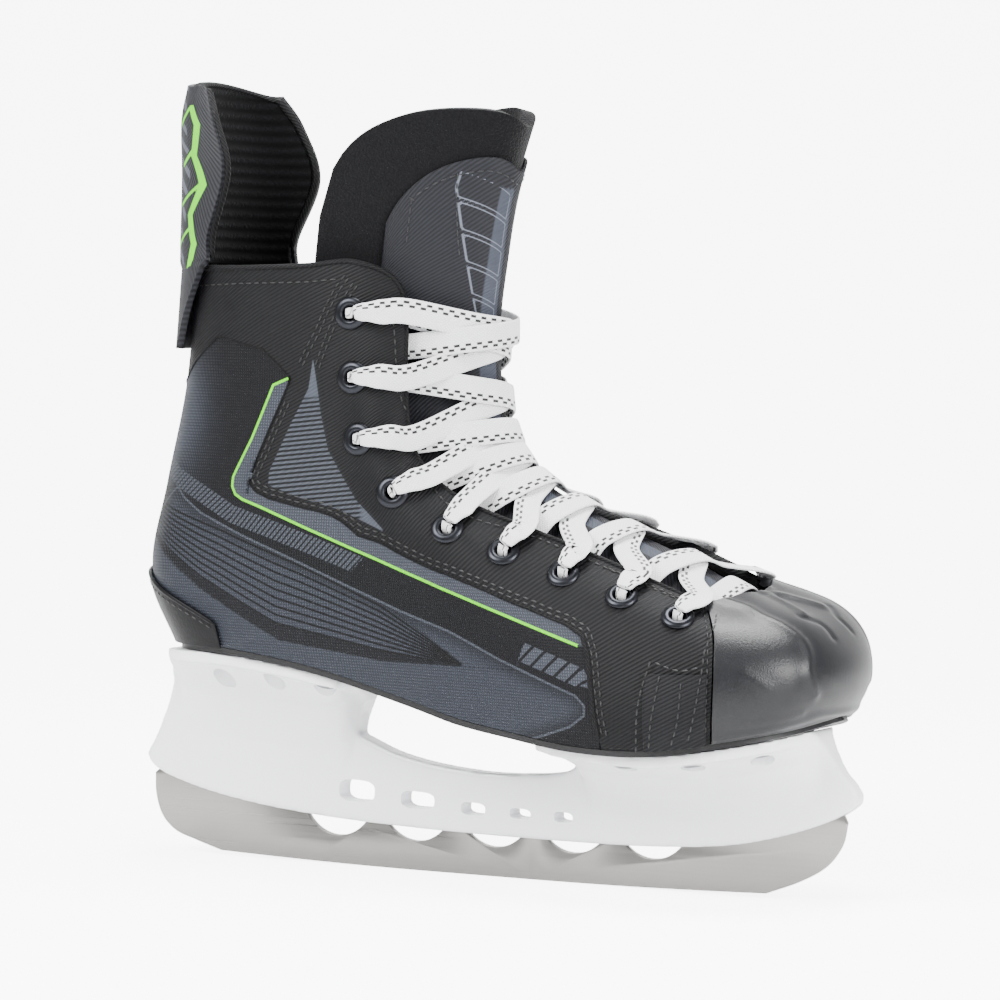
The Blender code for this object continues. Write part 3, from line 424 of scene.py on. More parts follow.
def brushed_finish(name, colour, roughness, run=(14, 900, 900)):
    """Ground or plated steel: fine scratches, that run along the blade on the runner. The scratches are drawn
    coarser than real ones, so that they show."""
    material, tree, shader = finish(name, Metallic=1.0, Anisotropic=0.4)
    place = put(tree, "ShaderNodeTexCoord")
    laid = put(tree, "ShaderNodeMapping", {"Vector": place.outputs["Object"], "Scale": run})
    noise = put(tree, "ShaderNodeTexNoise", {"Vector": laid.outputs[0], "Scale": 1.0, "Detail": 5.0})
    scratch = noise.outputs[0]
    rough = put(tree, "ShaderNodeMapRange", {"Value": scratch, "To Min": roughness - 0.1, "To Max": roughness + 0.12})
    tree.links.new(rough.outputs[0], shader.inputs["Roughness"])
    ends = {0: scratch, 6: [c * 0.86 for c in colour], 7: colour}
    surface(tree, shader, put(tree, "ShaderNodeMix", ends, data_type="RGBA").outputs[2], scratch, 0.00001)
    return material


def lace_finish(colours):
    """Flat woven cotton braid with two staggered rows of black tracer threads."""
    material, tree, shader = finish("woven_cotton_lace", Roughness=0.9, Sheen_Weight=0.3)
    flat = put(tree, "ShaderNodeUVMap", uv_map="cloth")
    parts = put(tree, "ShaderNodeSeparateXYZ", {0: flat.outputs[0]}).outputs
    braid = put(tree, "ShaderNodeMath", {0: cloth_lines(tree, 0.0009, 40), 1: cloth_lines(tree, 0.0009, -40)},
                operation="MULTIPLY").outputs[0]
    # Painted shade: the lace colour is darkened to 0.78 in the braid's hollows.
    ends = {0: braid, 6: [c * 0.78 for c in colours.lace], 7: colours.lace}
    colour = put(tree, "ShaderNodeMix", ends, data_type="RGBA").outputs[2]
    for row, shift in ((TRACER_ROWS[0], 0.0), (TRACER_ROWS[1], TRACER_GAP)):
        aside = put(tree, "ShaderNodeMath", {0: parts[1], 1: row}, operation="SUBTRACT").outputs[0]
        ahead = put(tree, "ShaderNodeMath", {0: parts[0], 1: shift}, operation="ADD").outputs[0]
        within = {0: inside(tree, aside, 0.0005, 0.0001), 1: strokes(tree, ahead, TRACER_GAP, TRACER_GAP / 2, 0.0001)}
        dash = put(tree, "ShaderNodeMath", within, operation="MULTIPLY").outputs[0]
        ends = {0: dash, 6: colour, 7: linear("#0a0a0b")}
        colour = put(tree, "ShaderNodeMix", ends, data_type="RGBA").outputs[2]
    surface(tree, shader, colour, braid, 0.00018)
    return material


def thread_finish():
    """Waxed black polyester thread, slightly glossy."""
    material, tree, shader = finish("stitch_thread", Roughness=0.45)
    ends = {0: speckle(tree, 0.001, 0, 1), 6: linear("#050506"), 7: linear("#121214")}
    tree.links.new(put(tree, "ShaderNodeMix", ends, data_type="RGBA").outputs[2], shader.inputs["Base Color"])
    return material


def guard_finish(colours):
    """Dark twill with a printed zig-zag and chevrons."""
    material, tree, shader = finish("printed_guard_twill", Roughness=0.55, Specular_IOR_Level=0.25)
    ribs = cloth_lines(tree, 0.0012, -55)
    zigzag, chevron, field = printed(tree, "print_guard")
    bars = put(tree, "ShaderNodeMath", {0: strokes(tree, chevron, 4.0, 1.5, 0.15), 1: field},
               operation="MULTIPLY").outputs[0]
    # Painted shade: the twill's grooves take the darker colour, its ribs the lighter one.
    ends = {0: ribs, 6: linear("#0b0b0e"), 7: linear("#232429")}
    colour = put(tree, "ShaderNodeMix", ends, data_type="RGBA").outputs[2]
    for share, ink in ((bars, linear("#4a4d57")), (inside(tree, zigzag, 2.7, 0.15), linear("#121316")),
                       (inside(tree, zigzag, 1.9, 0.15), colours.lime)):
        colour = put(tree, "ShaderNodeMix", {0: share, 6: colour, 7: ink}, data_type="RGBA").outputs[2]
    surface(tree, shader, colour, ribs, 0.00014)
    return material


def tongue_finish(colours):
    """Nylon with fine cross ribs; pale outlined bars are printed beside a lighter middle band."""
    material, tree, shader = finish("ribbed_tongue_nylon", Roughness=0.6, Specular_IOR_Level=0.22)
    ribs, twill = cloth_lines(tree, 0.0011, 0), cloth_lines(tree, 0.0011, -40)
    middle, bar, side = printed(tree, "print_tongue")
    flank = put(tree, "ShaderNodeMapRange", {"Value": side, "From Min": 17.2, "From Max": 17.6}).outputs[0]
    weave = put(tree, "ShaderNodeMix", {0: flank, 2: twill, 3: ribs}).outputs[0]
    aside = put(tree, "ShaderNodeMath", {0: side, 1: 5.0}, operation="ADD").outputs[0]
    band = put(tree, "ShaderNodeMath", {0: inside(tree, aside, 3.2, 0.3), 1: middle}, operation="MULTIPLY").outputs[0]
    # Painted shade: the weave's hollows take near black, its raised threads the tongue's colour.
    colour = linear("#0a0a0d")
    for share, ink in ((weave, colours.tongue), (band, linear("#343842")),
                       (inside(tree, bar, 0.2, 0.1), linear("#5b5f6a"))):
        colour = put(tree, "ShaderNodeMix", {0: share, 6: colour, 7: ink}, data_type="RGBA").outputs[2]
    surface(tree, shader, colour, twill, 0.00013)
    return material


# ------------------------------------------------------------ making pieces

def deselect():
    if bpy.context.mode != "OBJECT":
        bpy.ops.object.mode_set(mode="OBJECT")
    bpy.ops.object.select_all(action="DESELECT")


def take(piece):
    """Makes this the one selected piece."""
    deselect()
    piece.select_set(True)
    bpy.context.view_layer.objects.active = piece


def fresh(name, points, edges, faces):
    """A new piece from points in metres, selected alone."""
    mesh = bpy.data.meshes.new(name)
    mesh.from_pydata(points, edges, faces)
    piece = bpy.data.objects.new(name, mesh)
    bpy.context.scene.collection.objects.link(piece)
    take(piece)
    return piece


def face_out(merge=False):
    """Turns the selected piece's faces outwards, after its doubled points are merged."""
    bpy.ops.object.mode_set(mode="EDIT")
    bpy.ops.mesh.select_all(action="SELECT")
    if merge:
        bpy.ops.mesh.remove_doubles(threshold=1e-6)
    bpy.ops.mesh.normals_make_consistent(inside=False)
    bpy.ops.object.mode_set(mode="OBJECT")


def points_of(piece):
    """Every point of a piece's mesh, as rows."""
    points = np.empty(len(piece.data.vertices) * 3, np.float32)
    piece.data.vertices.foreach_get("co", points)
    return points.reshape(-1, 3)


def gone_along(line):
    """How far along a line each of its points is."""
    return np.concatenate([[0], np.cumsum(np.linalg.norm(np.diff(line, axis=0), axis=1))])


def modify(piece, kind, **settings):
    """Adds a modifier with its settings and applies it."""
    take(piece)
    modifier = piece.modifiers.new(kind.title(), kind)
    for key, value in settings.items():
        setattr(modifier, key, value)
    bpy.ops.object.modifier_apply(modifier=modifier.name)


def smooth(piece, degrees=40):
    take(piece)
    bpy.ops.object.shade_smooth_by_angle(angle=math.radians(degrees))


def own_up(piece, material, body, stands_for=()):
    """Gives a piece its finish and its place in the object."""
    if material:
        piece.data.materials.clear()
        piece.data.materials.append(material)
    if body:
        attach(piece, body)
    if stands_for:
        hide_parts(*stands_for)
    return piece


def named(name):
    """Names the primitive that was just added."""
    piece = bpy.context.object
    piece.name = name
    piece.data.name = name
    return piece


def write_map(mesh, flat):
    """Writes a UV map named cloth, from one flat place for each point."""
    for layer in list(mesh.uv_layers):
        mesh.uv_layers.remove(layer)
    layer = mesh.uv_layers.new(name="cloth")
    corners = np.empty(len(mesh.loops), np.int32)
    mesh.loops.foreach_get("vertex_index", corners)
    layer.data.foreach_set("uv", flat[corners].astype(np.float32).ravel())


def write_field(mesh, name, values):
    """Writes three distances for each point, that a print is drawn from."""
    field = mesh.attributes.new(name, "FLOAT_VECTOR", "POINT")
    field.data.foreach_set("vector", np.stack(values, -1).astype(np.float32).ravel())


def drape(name, across, up, place, thick, cloth=None, fields=None, rim=0.0):
    """A grid laid on a surface: place(a, b) gives its points in millimetres for a and b from 0 to 1.
    It is then given its thickness inwards. cloth(a, b, points) gives its flat map, and fields(a, b, points)
    its print."""
    deselect()
    bpy.ops.mesh.primitive_grid_add(x_subdivisions=across, y_subdivisions=up, size=1)
    piece = named(name)
    mesh = piece.data
    a, b = np.clip((points_of(piece)[:, :2] + 0.5).astype(float), 0, 1).T
    points = place(a, b)
    mesh.vertices.foreach_set("co", (points * MM).astype(np.float32).ravel())
    write_map(mesh, cloth(a, b, points) if cloth else points[:, [0, 2]] * MM)
    for key, values in (fields(a, b, points) if fields else {}).items():
        write_field(mesh, key, values)
    mesh.update()
    modify(piece, "SOLIDIFY", thickness=thick * MM, offset=-1.0)
    if rim:
        modify(piece, "BEVEL", width=rim * MM, segments=2, limit_method="ANGLE", angle_limit=math.radians(60))
    smooth(piece)
    return piece


def wall(name, at, out, thick, across, up, medial=False, **more):
    """A layer of the boot's wall. at gives the outer side's (u, v) from a and b; medial mirrors it."""
    def lay(a, b):
        u, v = at(1 - a if medial else a, b)
        return (ROUND - u if medial else u), v

    def place(a, b):
        u, v = lay(a, b)
        return boot(u, v, out(u, v) if callable(out) else np.full(a.shape, out))

    def cloth(a, b, points):
        return cloth_place(lay(a, b)[0], points)

    return drape(name, across, up, place, thick, cloth=cloth, **more)


def extruded(name, outline, half):
    """A plate from an outline of (x, z) in millimetres, standing across Y."""
    piece = fresh(name, [(x * MM, -half * MM, z * MM) for x, z in outline], [], [range(len(outline))])
    bpy.ops.object.mode_set(mode="EDIT")
    bpy.ops.mesh.select_all(action="SELECT")
    bpy.ops.mesh.extrude_region_move(TRANSFORM_OT_translate={"value": (0, 2 * half * MM, 0)})
    face_out()
    return piece


def turned(name, profile, steps):
    """A shape spun about Z from a closed profile of (radius, z) in millimetres."""
    count = len(profile)
    piece = fresh(name, [(r * MM, 0, z * MM) for r, z in profile], [(k, (k + 1) % count) for k in range(count)], [])
    bpy.ops.object.mode_set(mode="EDIT")
    bpy.ops.mesh.select_all(action="SELECT")
    bpy.ops.mesh.spin(steps=steps, angle=2 * math.pi, center=(0, 0, 0), axis=(0, 0, 1))
    face_out(merge=True)
    return piece


def copy_at(piece, name, matrix):
    """A copy with a mesh of its own, put in its place."""
    twin = piece.copy()
    twin.data = piece.data.copy()
    twin.name = name
    twin.data.transform(matrix)
    bpy.context.scene.collection.objects.link(twin)
    return twin


def cut(piece, cutter, operation="DIFFERENCE"):
    """Cuts one piece with another, which it uses up, or joins them with UNION."""
    modify(piece, "BOOLEAN", operation=operation, object=cutter, solver="EXACT")
    bpy.data.objects.remove(cutter)


def joined(pieces):
    """Several pieces made one, with no Boolean."""
    deselect()
    for piece in pieces:
        piece.select_set(True)
    bpy.context.view_layer.objects.active = pieces[0]
    bpy.ops.object.join()
    return pieces[0]


def uv_row(path, offset=0.0, out=0.1):
    """Points and normals of a row along a path of (u, v), moved offset mm to its left over the surface."""
    line = smooth_path(path, 60 * len(path)) if len(path) > 2 else np.linspace(path[0], path[1], 120)
    u, v = line.T
    if offset:
        step = 0.01
        by_u = (boot(u + step, v) - boot(u - step, v)) / (2 * step)
        high = np.minimum(v + step, TOP)
        by_v = (boot(u, high) - boot(u, v - step)) / (high - v + step)[:, None]
        ahead = np.gradient(boot(u, v), axis=0)
        left = unit(np.cross(boot_normal(u, v), ahead)) * offset
        matrix = np.stack([by_u, by_v], -1)
        move = np.array([np.linalg.lstsq(m, side, rcond=None)[0] for m, side in zip(matrix, left)])
        u, v = u + move[:, 0], np.clip(v + move[:, 1], 0, TOP)
    return boot(u, v, np.full(u.shape, out)), boot_normal(u, v)


def other_side(path):
    """The same path of (u, v) on the inner side."""
    return [(ROUND - u, v) for u, v in path]


def stitches(name, rows, body):
    """One thread piece with a rounded stitch at every pitch along each row of points and normals."""
    sizes = bpy.context.scene.skate_sizes
    length, pitch, thick = (round(size / MM, 3) for size in (sizes.stitch_length, sizes.stitch_pitch,
                                                           sizes.thread_thickness))
    deselect()
    bpy.ops.mesh.primitive_uv_sphere_add(segments=6, ring_count=5, radius=0.5)
    piece = named(name)
    shape = np.array([v.co for v in piece.data.vertices])[:, [2, 0, 1]]
    sides = [tuple(f.vertices) for f in piece.data.polygons]
    points, faces = [], []
    for line, normals in rows:
        gone = gone_along(line)
        ahead = unit(np.gradient(line, axis=0))
        for place in np.arange(pitch / 2, gone[-1], pitch):
            centre, forward, normal = (np.array([np.interp(place, gone, column) for column in table.T])
                                       for table in (line, ahead, normals))
            side = unit(np.cross(normal, forward))
            start = len(points) * len(shape)
            points.append(centre + shape @ np.array([forward * length, side * thick, normal * thick * 0.9]))
            faces += [tuple(start + k for k in face) for face in sides]
    mesh = bpy.data.meshes.new(name)
    mesh.from_pydata(np.concatenate(points) * MM, [], faces)
    old = piece.data
    piece.data = mesh
    bpy.data.meshes.remove(old)
    smooth(piece, 180)
    return own_up(piece, bpy.data.materials["stitch_thread"], body)


SIDES = (("lateral", False), ("medial", True))


def mirrored(u, medial):
    """The place round the boot, on the inner side if asked."""
    return ROUND - u if medial else u


# ------------------------------------------------------------ dimensions shared with the frame

LINING_FRONT, COLLAR_FRONT, EYELET_HOLE = 9.0, 3.08, 3.4
FLANGE_TOP, FLANGE_THICK = -0.35, 4.0
# The seam between the printed side and the twill, heel to toe: first as (u, v), then as (x, z). FEET and HEADS
# are the rib positions below and above each of its points, where the cloth's own grain meets the sole and the top.
SEAM_BACK = ((0.02, 2.93), (0.8, 3.05), (1.6, 3.42), (2.35, 3.3))
SEAM_SIDE = (
    (-67, 183.5), (-74.5, 166), (-82, 148.5), (-82.4, 144.5), (-79.5, 141.4), (-73, 139), (-36, 126.8),
    (1.5, 114), (35.5, 103.2), (51, 98.4), (57.5, 95), (60.5, 89), (63, 78), (65, 66),
)
FEET = (0.02, 0.72, 1.3, 1.7, 1.9, 2.05, 2.18, 2.24, 2.32, 2.6)
HEADS = (0.02, 0.8, 1.6, 2.4, 2.95, 3.3, 3.5, 3.58, 3.64, 3.72)
EYELETS = (
    (-43, 208), (-41, 184.5), (-37.5, 162), (-23, 143), (-1, 130.5), (21, 123), (45, 116), (68.5, 109),
    (90.5, 102.5),
)
EYESTAY_EDGE = (
    (-24, 209), (-24, 185), (-19.5, 163), (-12, 149), (3, 140), (26, 132), (48, 125), (71, 116.5), (94, 108),
)
TONGUE_LINE = (
    (112, 103), (98, 108.5), (79, 118), (57, 127), (38, 135), (22, 143.5), (9, 154.5),
    (2, 170), (-0.5, 188), (-1, 206), (1, 226), (5, 253), (14, 284),
)
TONGUE_WIDTH = (24, 28, 31, 32, 31, 29.5, 27.5, 26, 25.5, 26, 28, 32, 34)
TONGUE_DEPTH = (14, 22, 28, 32, 37, 45, 54, 59, 62, 63, 63, 61, 58)
TONGUE_BOW, TONGUE_SHOULDER, TONGUE_ARCH, FACE_SHARE = 2.3, 10.4, 2.7, 0.8
GUARD_ROWS = np.array((
    (226.5, -123.5, -103, 34), (237, -123.5, -103, 34), (260, -124, -95.5, 37), (279, -124, -101.5, 35),
    (291, -121.5, -108, 29),
))
GUARD_CREST = 3.5
ROCKER_RADIUS, FLAT_HALF, ROCKER_REACH = 2600.0, 18.0, 112.0
SCALLOPS, SCALLOP_Z, SCALLOP_RADIUS = (-62, -29, 3.5, 35.5, 67), 26.0, 15.0
BOLTS, BOLT_LUG_TOP, BOLT_LUG_HALF = (-95, 95), (56, 37), 6.0
SEATED_TOP, DEEP_TOP, SEATED_FROM, SEATED_TO = 20.6, 33.0, -77.0, 83.0
RIVETS = ((-101, 20), (-77, 24), (-55, 25), (68, 31), (93, 31), (116, 25))
REAR_TOWER = (
    (-142.5, 37, 3, 39.5), (-137.5, 31, 4.5, 50), (-132.5, 29, 7, 60), (-128, 28, 12, 70),
    (-126, 27.5, 20, None), (-121, 27, 25.5, None), (-112, 26, 29, None), (-95, 25, 31, None),
    (-72, 24, 32, None), (-59, 28, 32, None), (-54, 42, 31.5, None), (-52, 58, 31, None), (-48.5, 64, 30, None),
)
FRONT_TOWER = (
    (33, 49.5, 32, None), (38, 42, 35, None), (44, 27, 37, None), (54, 24.5, 38.5, None),
    (80, 24, 39.5, None), (104, 25.5, 37.5, None), (120, 28, 30.5, None), (127, 30, 22.5, None),
    (130.5, 31, 14, None), (133, 32, 8, 60), (137, 33, 5, 53), (142, 34, 4, 45), (146, 36, 3, 39.5),
)
TOWER_FLARE = ((0, 0.0), (0.03, 0.2), (0.09, 0.4), (0.34, 0.75), (0.78, 0.96), (0.9, 0.99))
SHEATH = (
    (-144.5, 36.5), (-139, 31), (-123.5, 26), (-107, 22.5), (-85.5, 19.5), (-53.5, 17), (-12, 15.6),
    (32, 15.2), (64, 15.5), (95.5, 17.5), (116, 22), (135, 28.5), (145.5, 34.5), (147.5, 38.5), (143.5, 44.5),
    (138, 48), (60, 46), (38, 44), (33, 40.5), (15, 38.8), (-2, 38.6), (-22, 40.5), (-38, 43.8), (-49, 48.5),
    (-58, 52), (-130, 56), (-136, 51), (-142, 41),
)
WINDOWS = (
    (-60, -45, 24.6, 33), (-34, -20, 23.6, 30.2), (-9, 1, 22.6, 27.6), (11, 19.5, 22.6, 26.6),
    (29, 36.5, 22.4, 26.4),
)
LACE_S = (9.15, 7.95, 6.95, 6.35, 5.7, 4.75, 3.65, 2.55, 1.4)
LACE_UNDER, LACE_OVER, TOP_STRANDS_UP = 3.7, 5.5, 3.0
LACE_NARROWS, LACE_THICKENS = 5.9, 1.1
LACE_SLIP = (7.2, 7.6, 9.3, 6.7, 7.0, 7.0, 7.0, 7.0, 7.0)
TUCK_EDGE, TUCK_END, TUCK_S = (-24, 196), (-37, 196), 8.45

# Prints and stitch rows of the outer side as (x, z). The inner side mirrors them.
LIME_LINE = np.array((
    (-67, 184), (-74.3, 181), (-82.5, 161), (-90, 146.5), (-90.2, 143.1), (-88.6, 140.2), (-85.3, 138.4),
    (-76.2, 135.5), (-38.9, 122.1), (-1.5, 109.1), (32.8, 98.6), (58.7, 90.7),
), float)
HATCH_BAND = np.array((
    (-127, 152), (-118, 146), (-105.3, 140.3), (-90, 132.8), (-74, 128.3), (-55.3, 122.6), (-35.4, 116),
), float)
THIN_LINE = np.array((
    (-125, 136), (-117.2, 142), (-113.2, 138.1), (-104, 132.5), (-86, 125.5), (-63.6, 117.4), (-40.4, 108.5),
    (-17.2, 100), (3.7, 93.4), (25.7, 84.6), (45.1, 78), (57.4, 73.8), (61.1, 70.4), (61, 66.9), (55, 62.5),
    (44.3, 58.8), (35, 56),
), float)
BLOCKS = np.array(((34, 88.2), (47, 84.2), (58, 80.5), (66, 76.5)), float)
FAN_TOP = np.array(((-131, 137), (-94.8, 126.6), (-59.3, 114.7), (-25.6, 101.5), (9.8, 82.2)), float)
FAN_FOOT = np.array(((-129.6, 125), (-103, 109), (-70, 93), (-25.6, 85.3), (9.8, 81.4)), float)
SHARD = np.array((
    (-57.6, 191.3), (-53.5, 171), (-49.6, 157.6), (-37.3, 139.7), (-24.5, 128.1), (-43.6, 135.9),
    (-60.2, 139.7), (-74, 144), (-74, 149), (-66, 167), (-59.2, 180),
), float)
STRAP_ROWS = (
    ((85.2, 87.4), (82.2, 73.6), (80, 56)), ((89.2, 82.7), (86.7, 66.8), (84.7, 57)),
    ((97, 80.6), (95.9, 67.2), (92.7, 59)), ((103.7, 85.7), (101.8, 71), (98.3, 60)),
    ((86.4, 86.7), (96, 84.1), (103.7, 85.7)), ((102.3, 102.8), (103.6, 91.8), (103.7, 85.7)),
)
QUARTER_ROWS = (
    ((-44.3, 222), (-48.3, 216.5), (-52.5, 208.7), (-55.7, 201.6), (-60, 194), (-63, 188.3)),
    ((-41.2, 219.1), (-45.1, 212.8), (-49.2, 204.7), (-52.7, 196.2), (-55.4, 188.8)),
)
EYESTAY_ROW = (
    (-30.5, 213), (-26, 186), (-22.5, 169), (-19, 157), (-3, 138.5), (24, 130), (46, 123), (70, 114.5), (90, 107.5),
)
COLLAR_ROW = ((-122, 216), (-97.4, 218), (-84.3, 218.6), (-47.3, 220.5))


def seam_path():
    """The seam as rows of (u, v, foot, head), close together, from the heel to the front of the panel."""
    places = list(SEAM_BACK) + [spot(x, z) for x, z in SEAM_SIDE] + [(9.45, 0.36)]
    u = [p[0] for p in places]
    feet = list(FEET) + [max(a, 2.7) for a in u[len(FEET):]]
    heads = list(HEADS) + [max(a, 3.8) for a in u[len(HEADS):]]
    rows = np.column_stack([places, feet, heads])
    gone = gone_along(boot(rows[:, 0], rows[:, 1]))
    return gone / gone[-1], rows


SEAM_K, SEAM_ROWS = seam_path()


def seam_at(k):
    """u, v, foot and head at a share k of the seam's length."""
    return [np.interp(k, SEAM_K, SEAM_ROWS[:, i]) for i in range(4)]


def panel_place(a, b):
    """Between the sole and the seam."""
    u, v, foot, _ = seam_at(a)
    around = foot + (u - foot) * b**6
    low = skirt(foot)
    return around, low + (v - low) * b


def twill_place(a, b):
    """Above the seam, and in front of the panel down to the sole."""
    share = 0.86
    u, v, _, head = seam_at(np.minimum(a / share, 1))
    beyond = np.clip((a - share) / (1 - share), 0, 1)
    u, head = u + (11.03 - u) * beyond, head + (11.03 - head) * beyond
    v = np.where(beyond > 0, skirt(u), v)
    return u + (head - u) * (1 - (1 - b) ** 3), v + (TOP - v) * b


def lining_foot(u):
    """Height v of the lining's lower edge."""
    return skirt(u) + 0.55


def tongue(s, t, out=0.0):
    """A point of the tongue's front face: s from the toe end to the top, t from -1 to 1 across."""
    line = np.array(TONGUE_LINE, float)

    def face(s, t):
        middle, ahead = curve(line, s), unit(curve(line, s + 0.05) - curve(line, s - 0.05))
        depth = curve(TONGUE_DEPTH, s) * np.abs(t) ** TONGUE_BOW
        return settle(np.stack([middle[..., 0] - ahead[..., 1] * depth, curve(TONGUE_WIDTH, s) * t,
                                middle[..., 1] + ahead[..., 0] * depth], -1))

    s, t = (np.asarray(value, float) for value in np.broadcast_arrays(s, t))
    step = 0.03
    across, up = face(s, t + step) - face(s, t - step), face(s + step, t) - face(s - step, t)
    return face(s, t) + unit(np.cross(across, up)) * np.asarray(out, float)[..., None]


def tongue_top(t):
    """Where the tongue ends: round at its corners, with a slight dip in the middle."""
    arch = (1 - np.minimum(np.abs(t), 1) ** TONGUE_ARCH) ** (1 / TONGUE_ARCH)
    dip = 0.2 * np.exp(-((np.asarray(t) / 0.3) ** 2))
    return TONGUE_SHOULDER + (len(TONGUE_LINE) - 1 - TONGUE_SHOULDER) * arch - dip


def guard(row, turn, out=0.0):
    """A point of the tendon guard: row 0 to 4 upwards, turn from -1, the outer edge, to 1 round the back."""
    def face(row, turn):
        z, back, front, half = np.moveaxis(curve(GUARD_ROWS, row), -1, 0)
        angle = math.pi / 2 * turn
        rise = GUARD_CREST * np.cos(angle) ** 2 * np.maximum(row - 3, 0)
        depth = np.maximum(np.cos(angle), 0) ** 0.8
        return np.stack([front + (back - front) * depth, half * np.sin(angle), z + rise], -1)

    row, turn = (np.asarray(value, float) for value in np.broadcast_arrays(row, turn))
    step = 0.02
    inner = np.clip(turn, step - 1, 1 - step)
    across = face(row, inner - step) - face(row, inner + step)
    normal = unit(np.cross(across, face(row + step, inner) - face(row - step, inner)))
    return face(row, turn) + normal * np.asarray(out, float)[..., None]


# ------------------------------------------------------------ boot pieces

def side_print(a, b, points):
    """The printed lines of the side panel, as distances in millimetres on its side view, and its tone, which also
    holds a painted highlight on the rounded ankle.
    """
    place = points[:, [0, 2]]
    x, z = place.T
    _, lime = track(place, LIME_LINE)
    _, thin = track(place, THIN_LINE)
    along, across = track(place, HATCH_BAND)
    length = np.linalg.norm(np.diff(HATCH_BAND, axis=0), axis=1).sum()
    across = np.where((along < -12) | (along - 0.45 * across > length), 99, across)
    block_along, block_across = track(place, BLOCKS)
    block_across = np.where((block_along < 0) | (block_along > 33), 99,
                            block_across * np.where(block_along > 26, 1 + (block_along - 26) / 4, 1))
    top, foot = np.interp(x, *FAN_TOP.T), np.interp(x, *FAN_FOOT.T)
    share = (top - z) / np.maximum(top - foot, 0.6)
    # Painted highlight: the rounded ankle near the heel is lightened towards the panel grey, as where light falls on
    # it.
    painted_ankle_highlight = 1.5 * np.exp(-((x + 120) / 13) ** 2 - ((z - 171) / 22) ** 2)
    below = np.clip((share - 1.0) / 0.25, 0, 1)
    # The tone: grey print fading in below the thin line, and above it only the painted ankle highlight.
    tone_and_painted_highlight = np.where(thin < 0, np.where((share > 1) & (below < 1), 0.05, 0.8) * np.clip(0.25 - thin / 7, 0, 1), painted_ankle_highlight)
    above = np.clip(lime * 2, 0, 1)
    fan = ((share > -0.1) & (share < 1.05) & (x < 9)).astype(float)
    lime = np.where((x > 57) | (z > 184.5), np.sign(lime) * 99, lime)
    return {
        "print_lines": (tone_and_painted_highlight, lime, thin),
        "print_hatch": (along - 0.45 * across, across, above),
        "print_blocks": (block_along - 0.5 * block_across, block_across, np.maximum(top - foot, 0.6) / 8),
        "print_fan": (share * 8, fan, fan),
    }


def outline_distance(points, outline):
    """Distance in from a closed outline: above 0 inside."""
    nearest, within = np.full(len(points), 1e9), np.zeros(len(points), bool)
    for start, end in zip(outline, np.roll(outline, -1, axis=0)):
        span = end - start
        t = np.clip((points - start) @ span / (span @ span), 0, 1)
        nearest = np.minimum(nearest, np.linalg.norm(points - start - t[:, None] * span, axis=1))
        crosses = (start[1] > points[:, 1]) != (end[1] > points[:, 1])
        rise = end[1] - start[1] or 1e-9
        within ^= crosses & (points[:, 0] < start[0] + (points[:, 1] - start[1]) / rise * span[0])
    return np.where(within, nearest, -nearest)


def quarter_print(piece):
    """The shard's print, written once the eyelet holes are cut, as a Boolean empties a point's own fields."""
    place = points_of(piece)[:, [0, 2]] / MM
    x, z = place.T
    solid = np.clip(np.maximum((z - 176) / 2, (x + 36) / 2), 0, 1)
    write_field(piece.data, "print_shard", (outline_distance(place, SHARD), z - 0.12 * x, solid))


def side_panels():
    """The printed nylon along each side."""
    material = panel_finish(bpy.context.scene.skate_colours)
    for side, medial in SIDES:
        piece = wall(f"printed_side_{side}", panel_place, 0.0, 1.2, 380, 110, medial, fields=side_print)
        own_up(piece, material, "boot", [f"side_panel_{side}"])


def twill_quarters():
    """The coated twill above the side panels, with a hole for each eyelet."""
    material = quarter_finish(bpy.context.scene.skate_colours)
    for side, medial in SIDES:
        piece = wall(f"twill_side_{side}", twill_place, 0.0, 1.2, 420, 90, medial)
        cutters = []
        for x, z in EYELETS:
            u, v = spot(x, z)
            deselect()
            bpy.ops.mesh.primitive_cylinder_add(vertices=32, radius=EYELET_HOLE * MM, depth=16 * MM)
            tool = bpy.context.object
            tool.matrix_world = square_to_wall(mirrored(u, medial), v)
            cutters.append(tool)
        cut(piece, joined(cutters))
        quarter_print(piece)
        own_up(piece, material, "boot", [f"twill_quarter_{side}"])


def square_to_wall(u, v):
    """The matrix that stands a shape on the wall, its Z pointing out."""
    turn = Vector(boot_normal(u, v)).to_track_quat("Z", "X").to_matrix().to_4x4()
    return Matrix.Translation(Vector(boot(u, v)) * MM) @ turn


def linings():
    """The padded knit inside each side."""
    material = knit_finish("brushed_knit_lining", "#141416", 0.0042, 0.0005)

    def at(a, b):
        u = 0.03 + (LINING_FRONT - 0.03) * a
        top = np.interp(u, (COLLAR_FRONT, COLLAR_FRONT + 0.3, 4.4, LINING_FRONT), (TOP, 3.3, 2.6, 2.55))
        return u, lining_foot(u) + (top - lining_foot(u)) * b

    for side, medial in SIDES:
        piece = wall(f"knit_lining_{side}", at, -5.2, 2.8, 160, 60, medial, rim=0.6)
        own_up(piece, material, "boot", [f"boot_lining_{side}"])


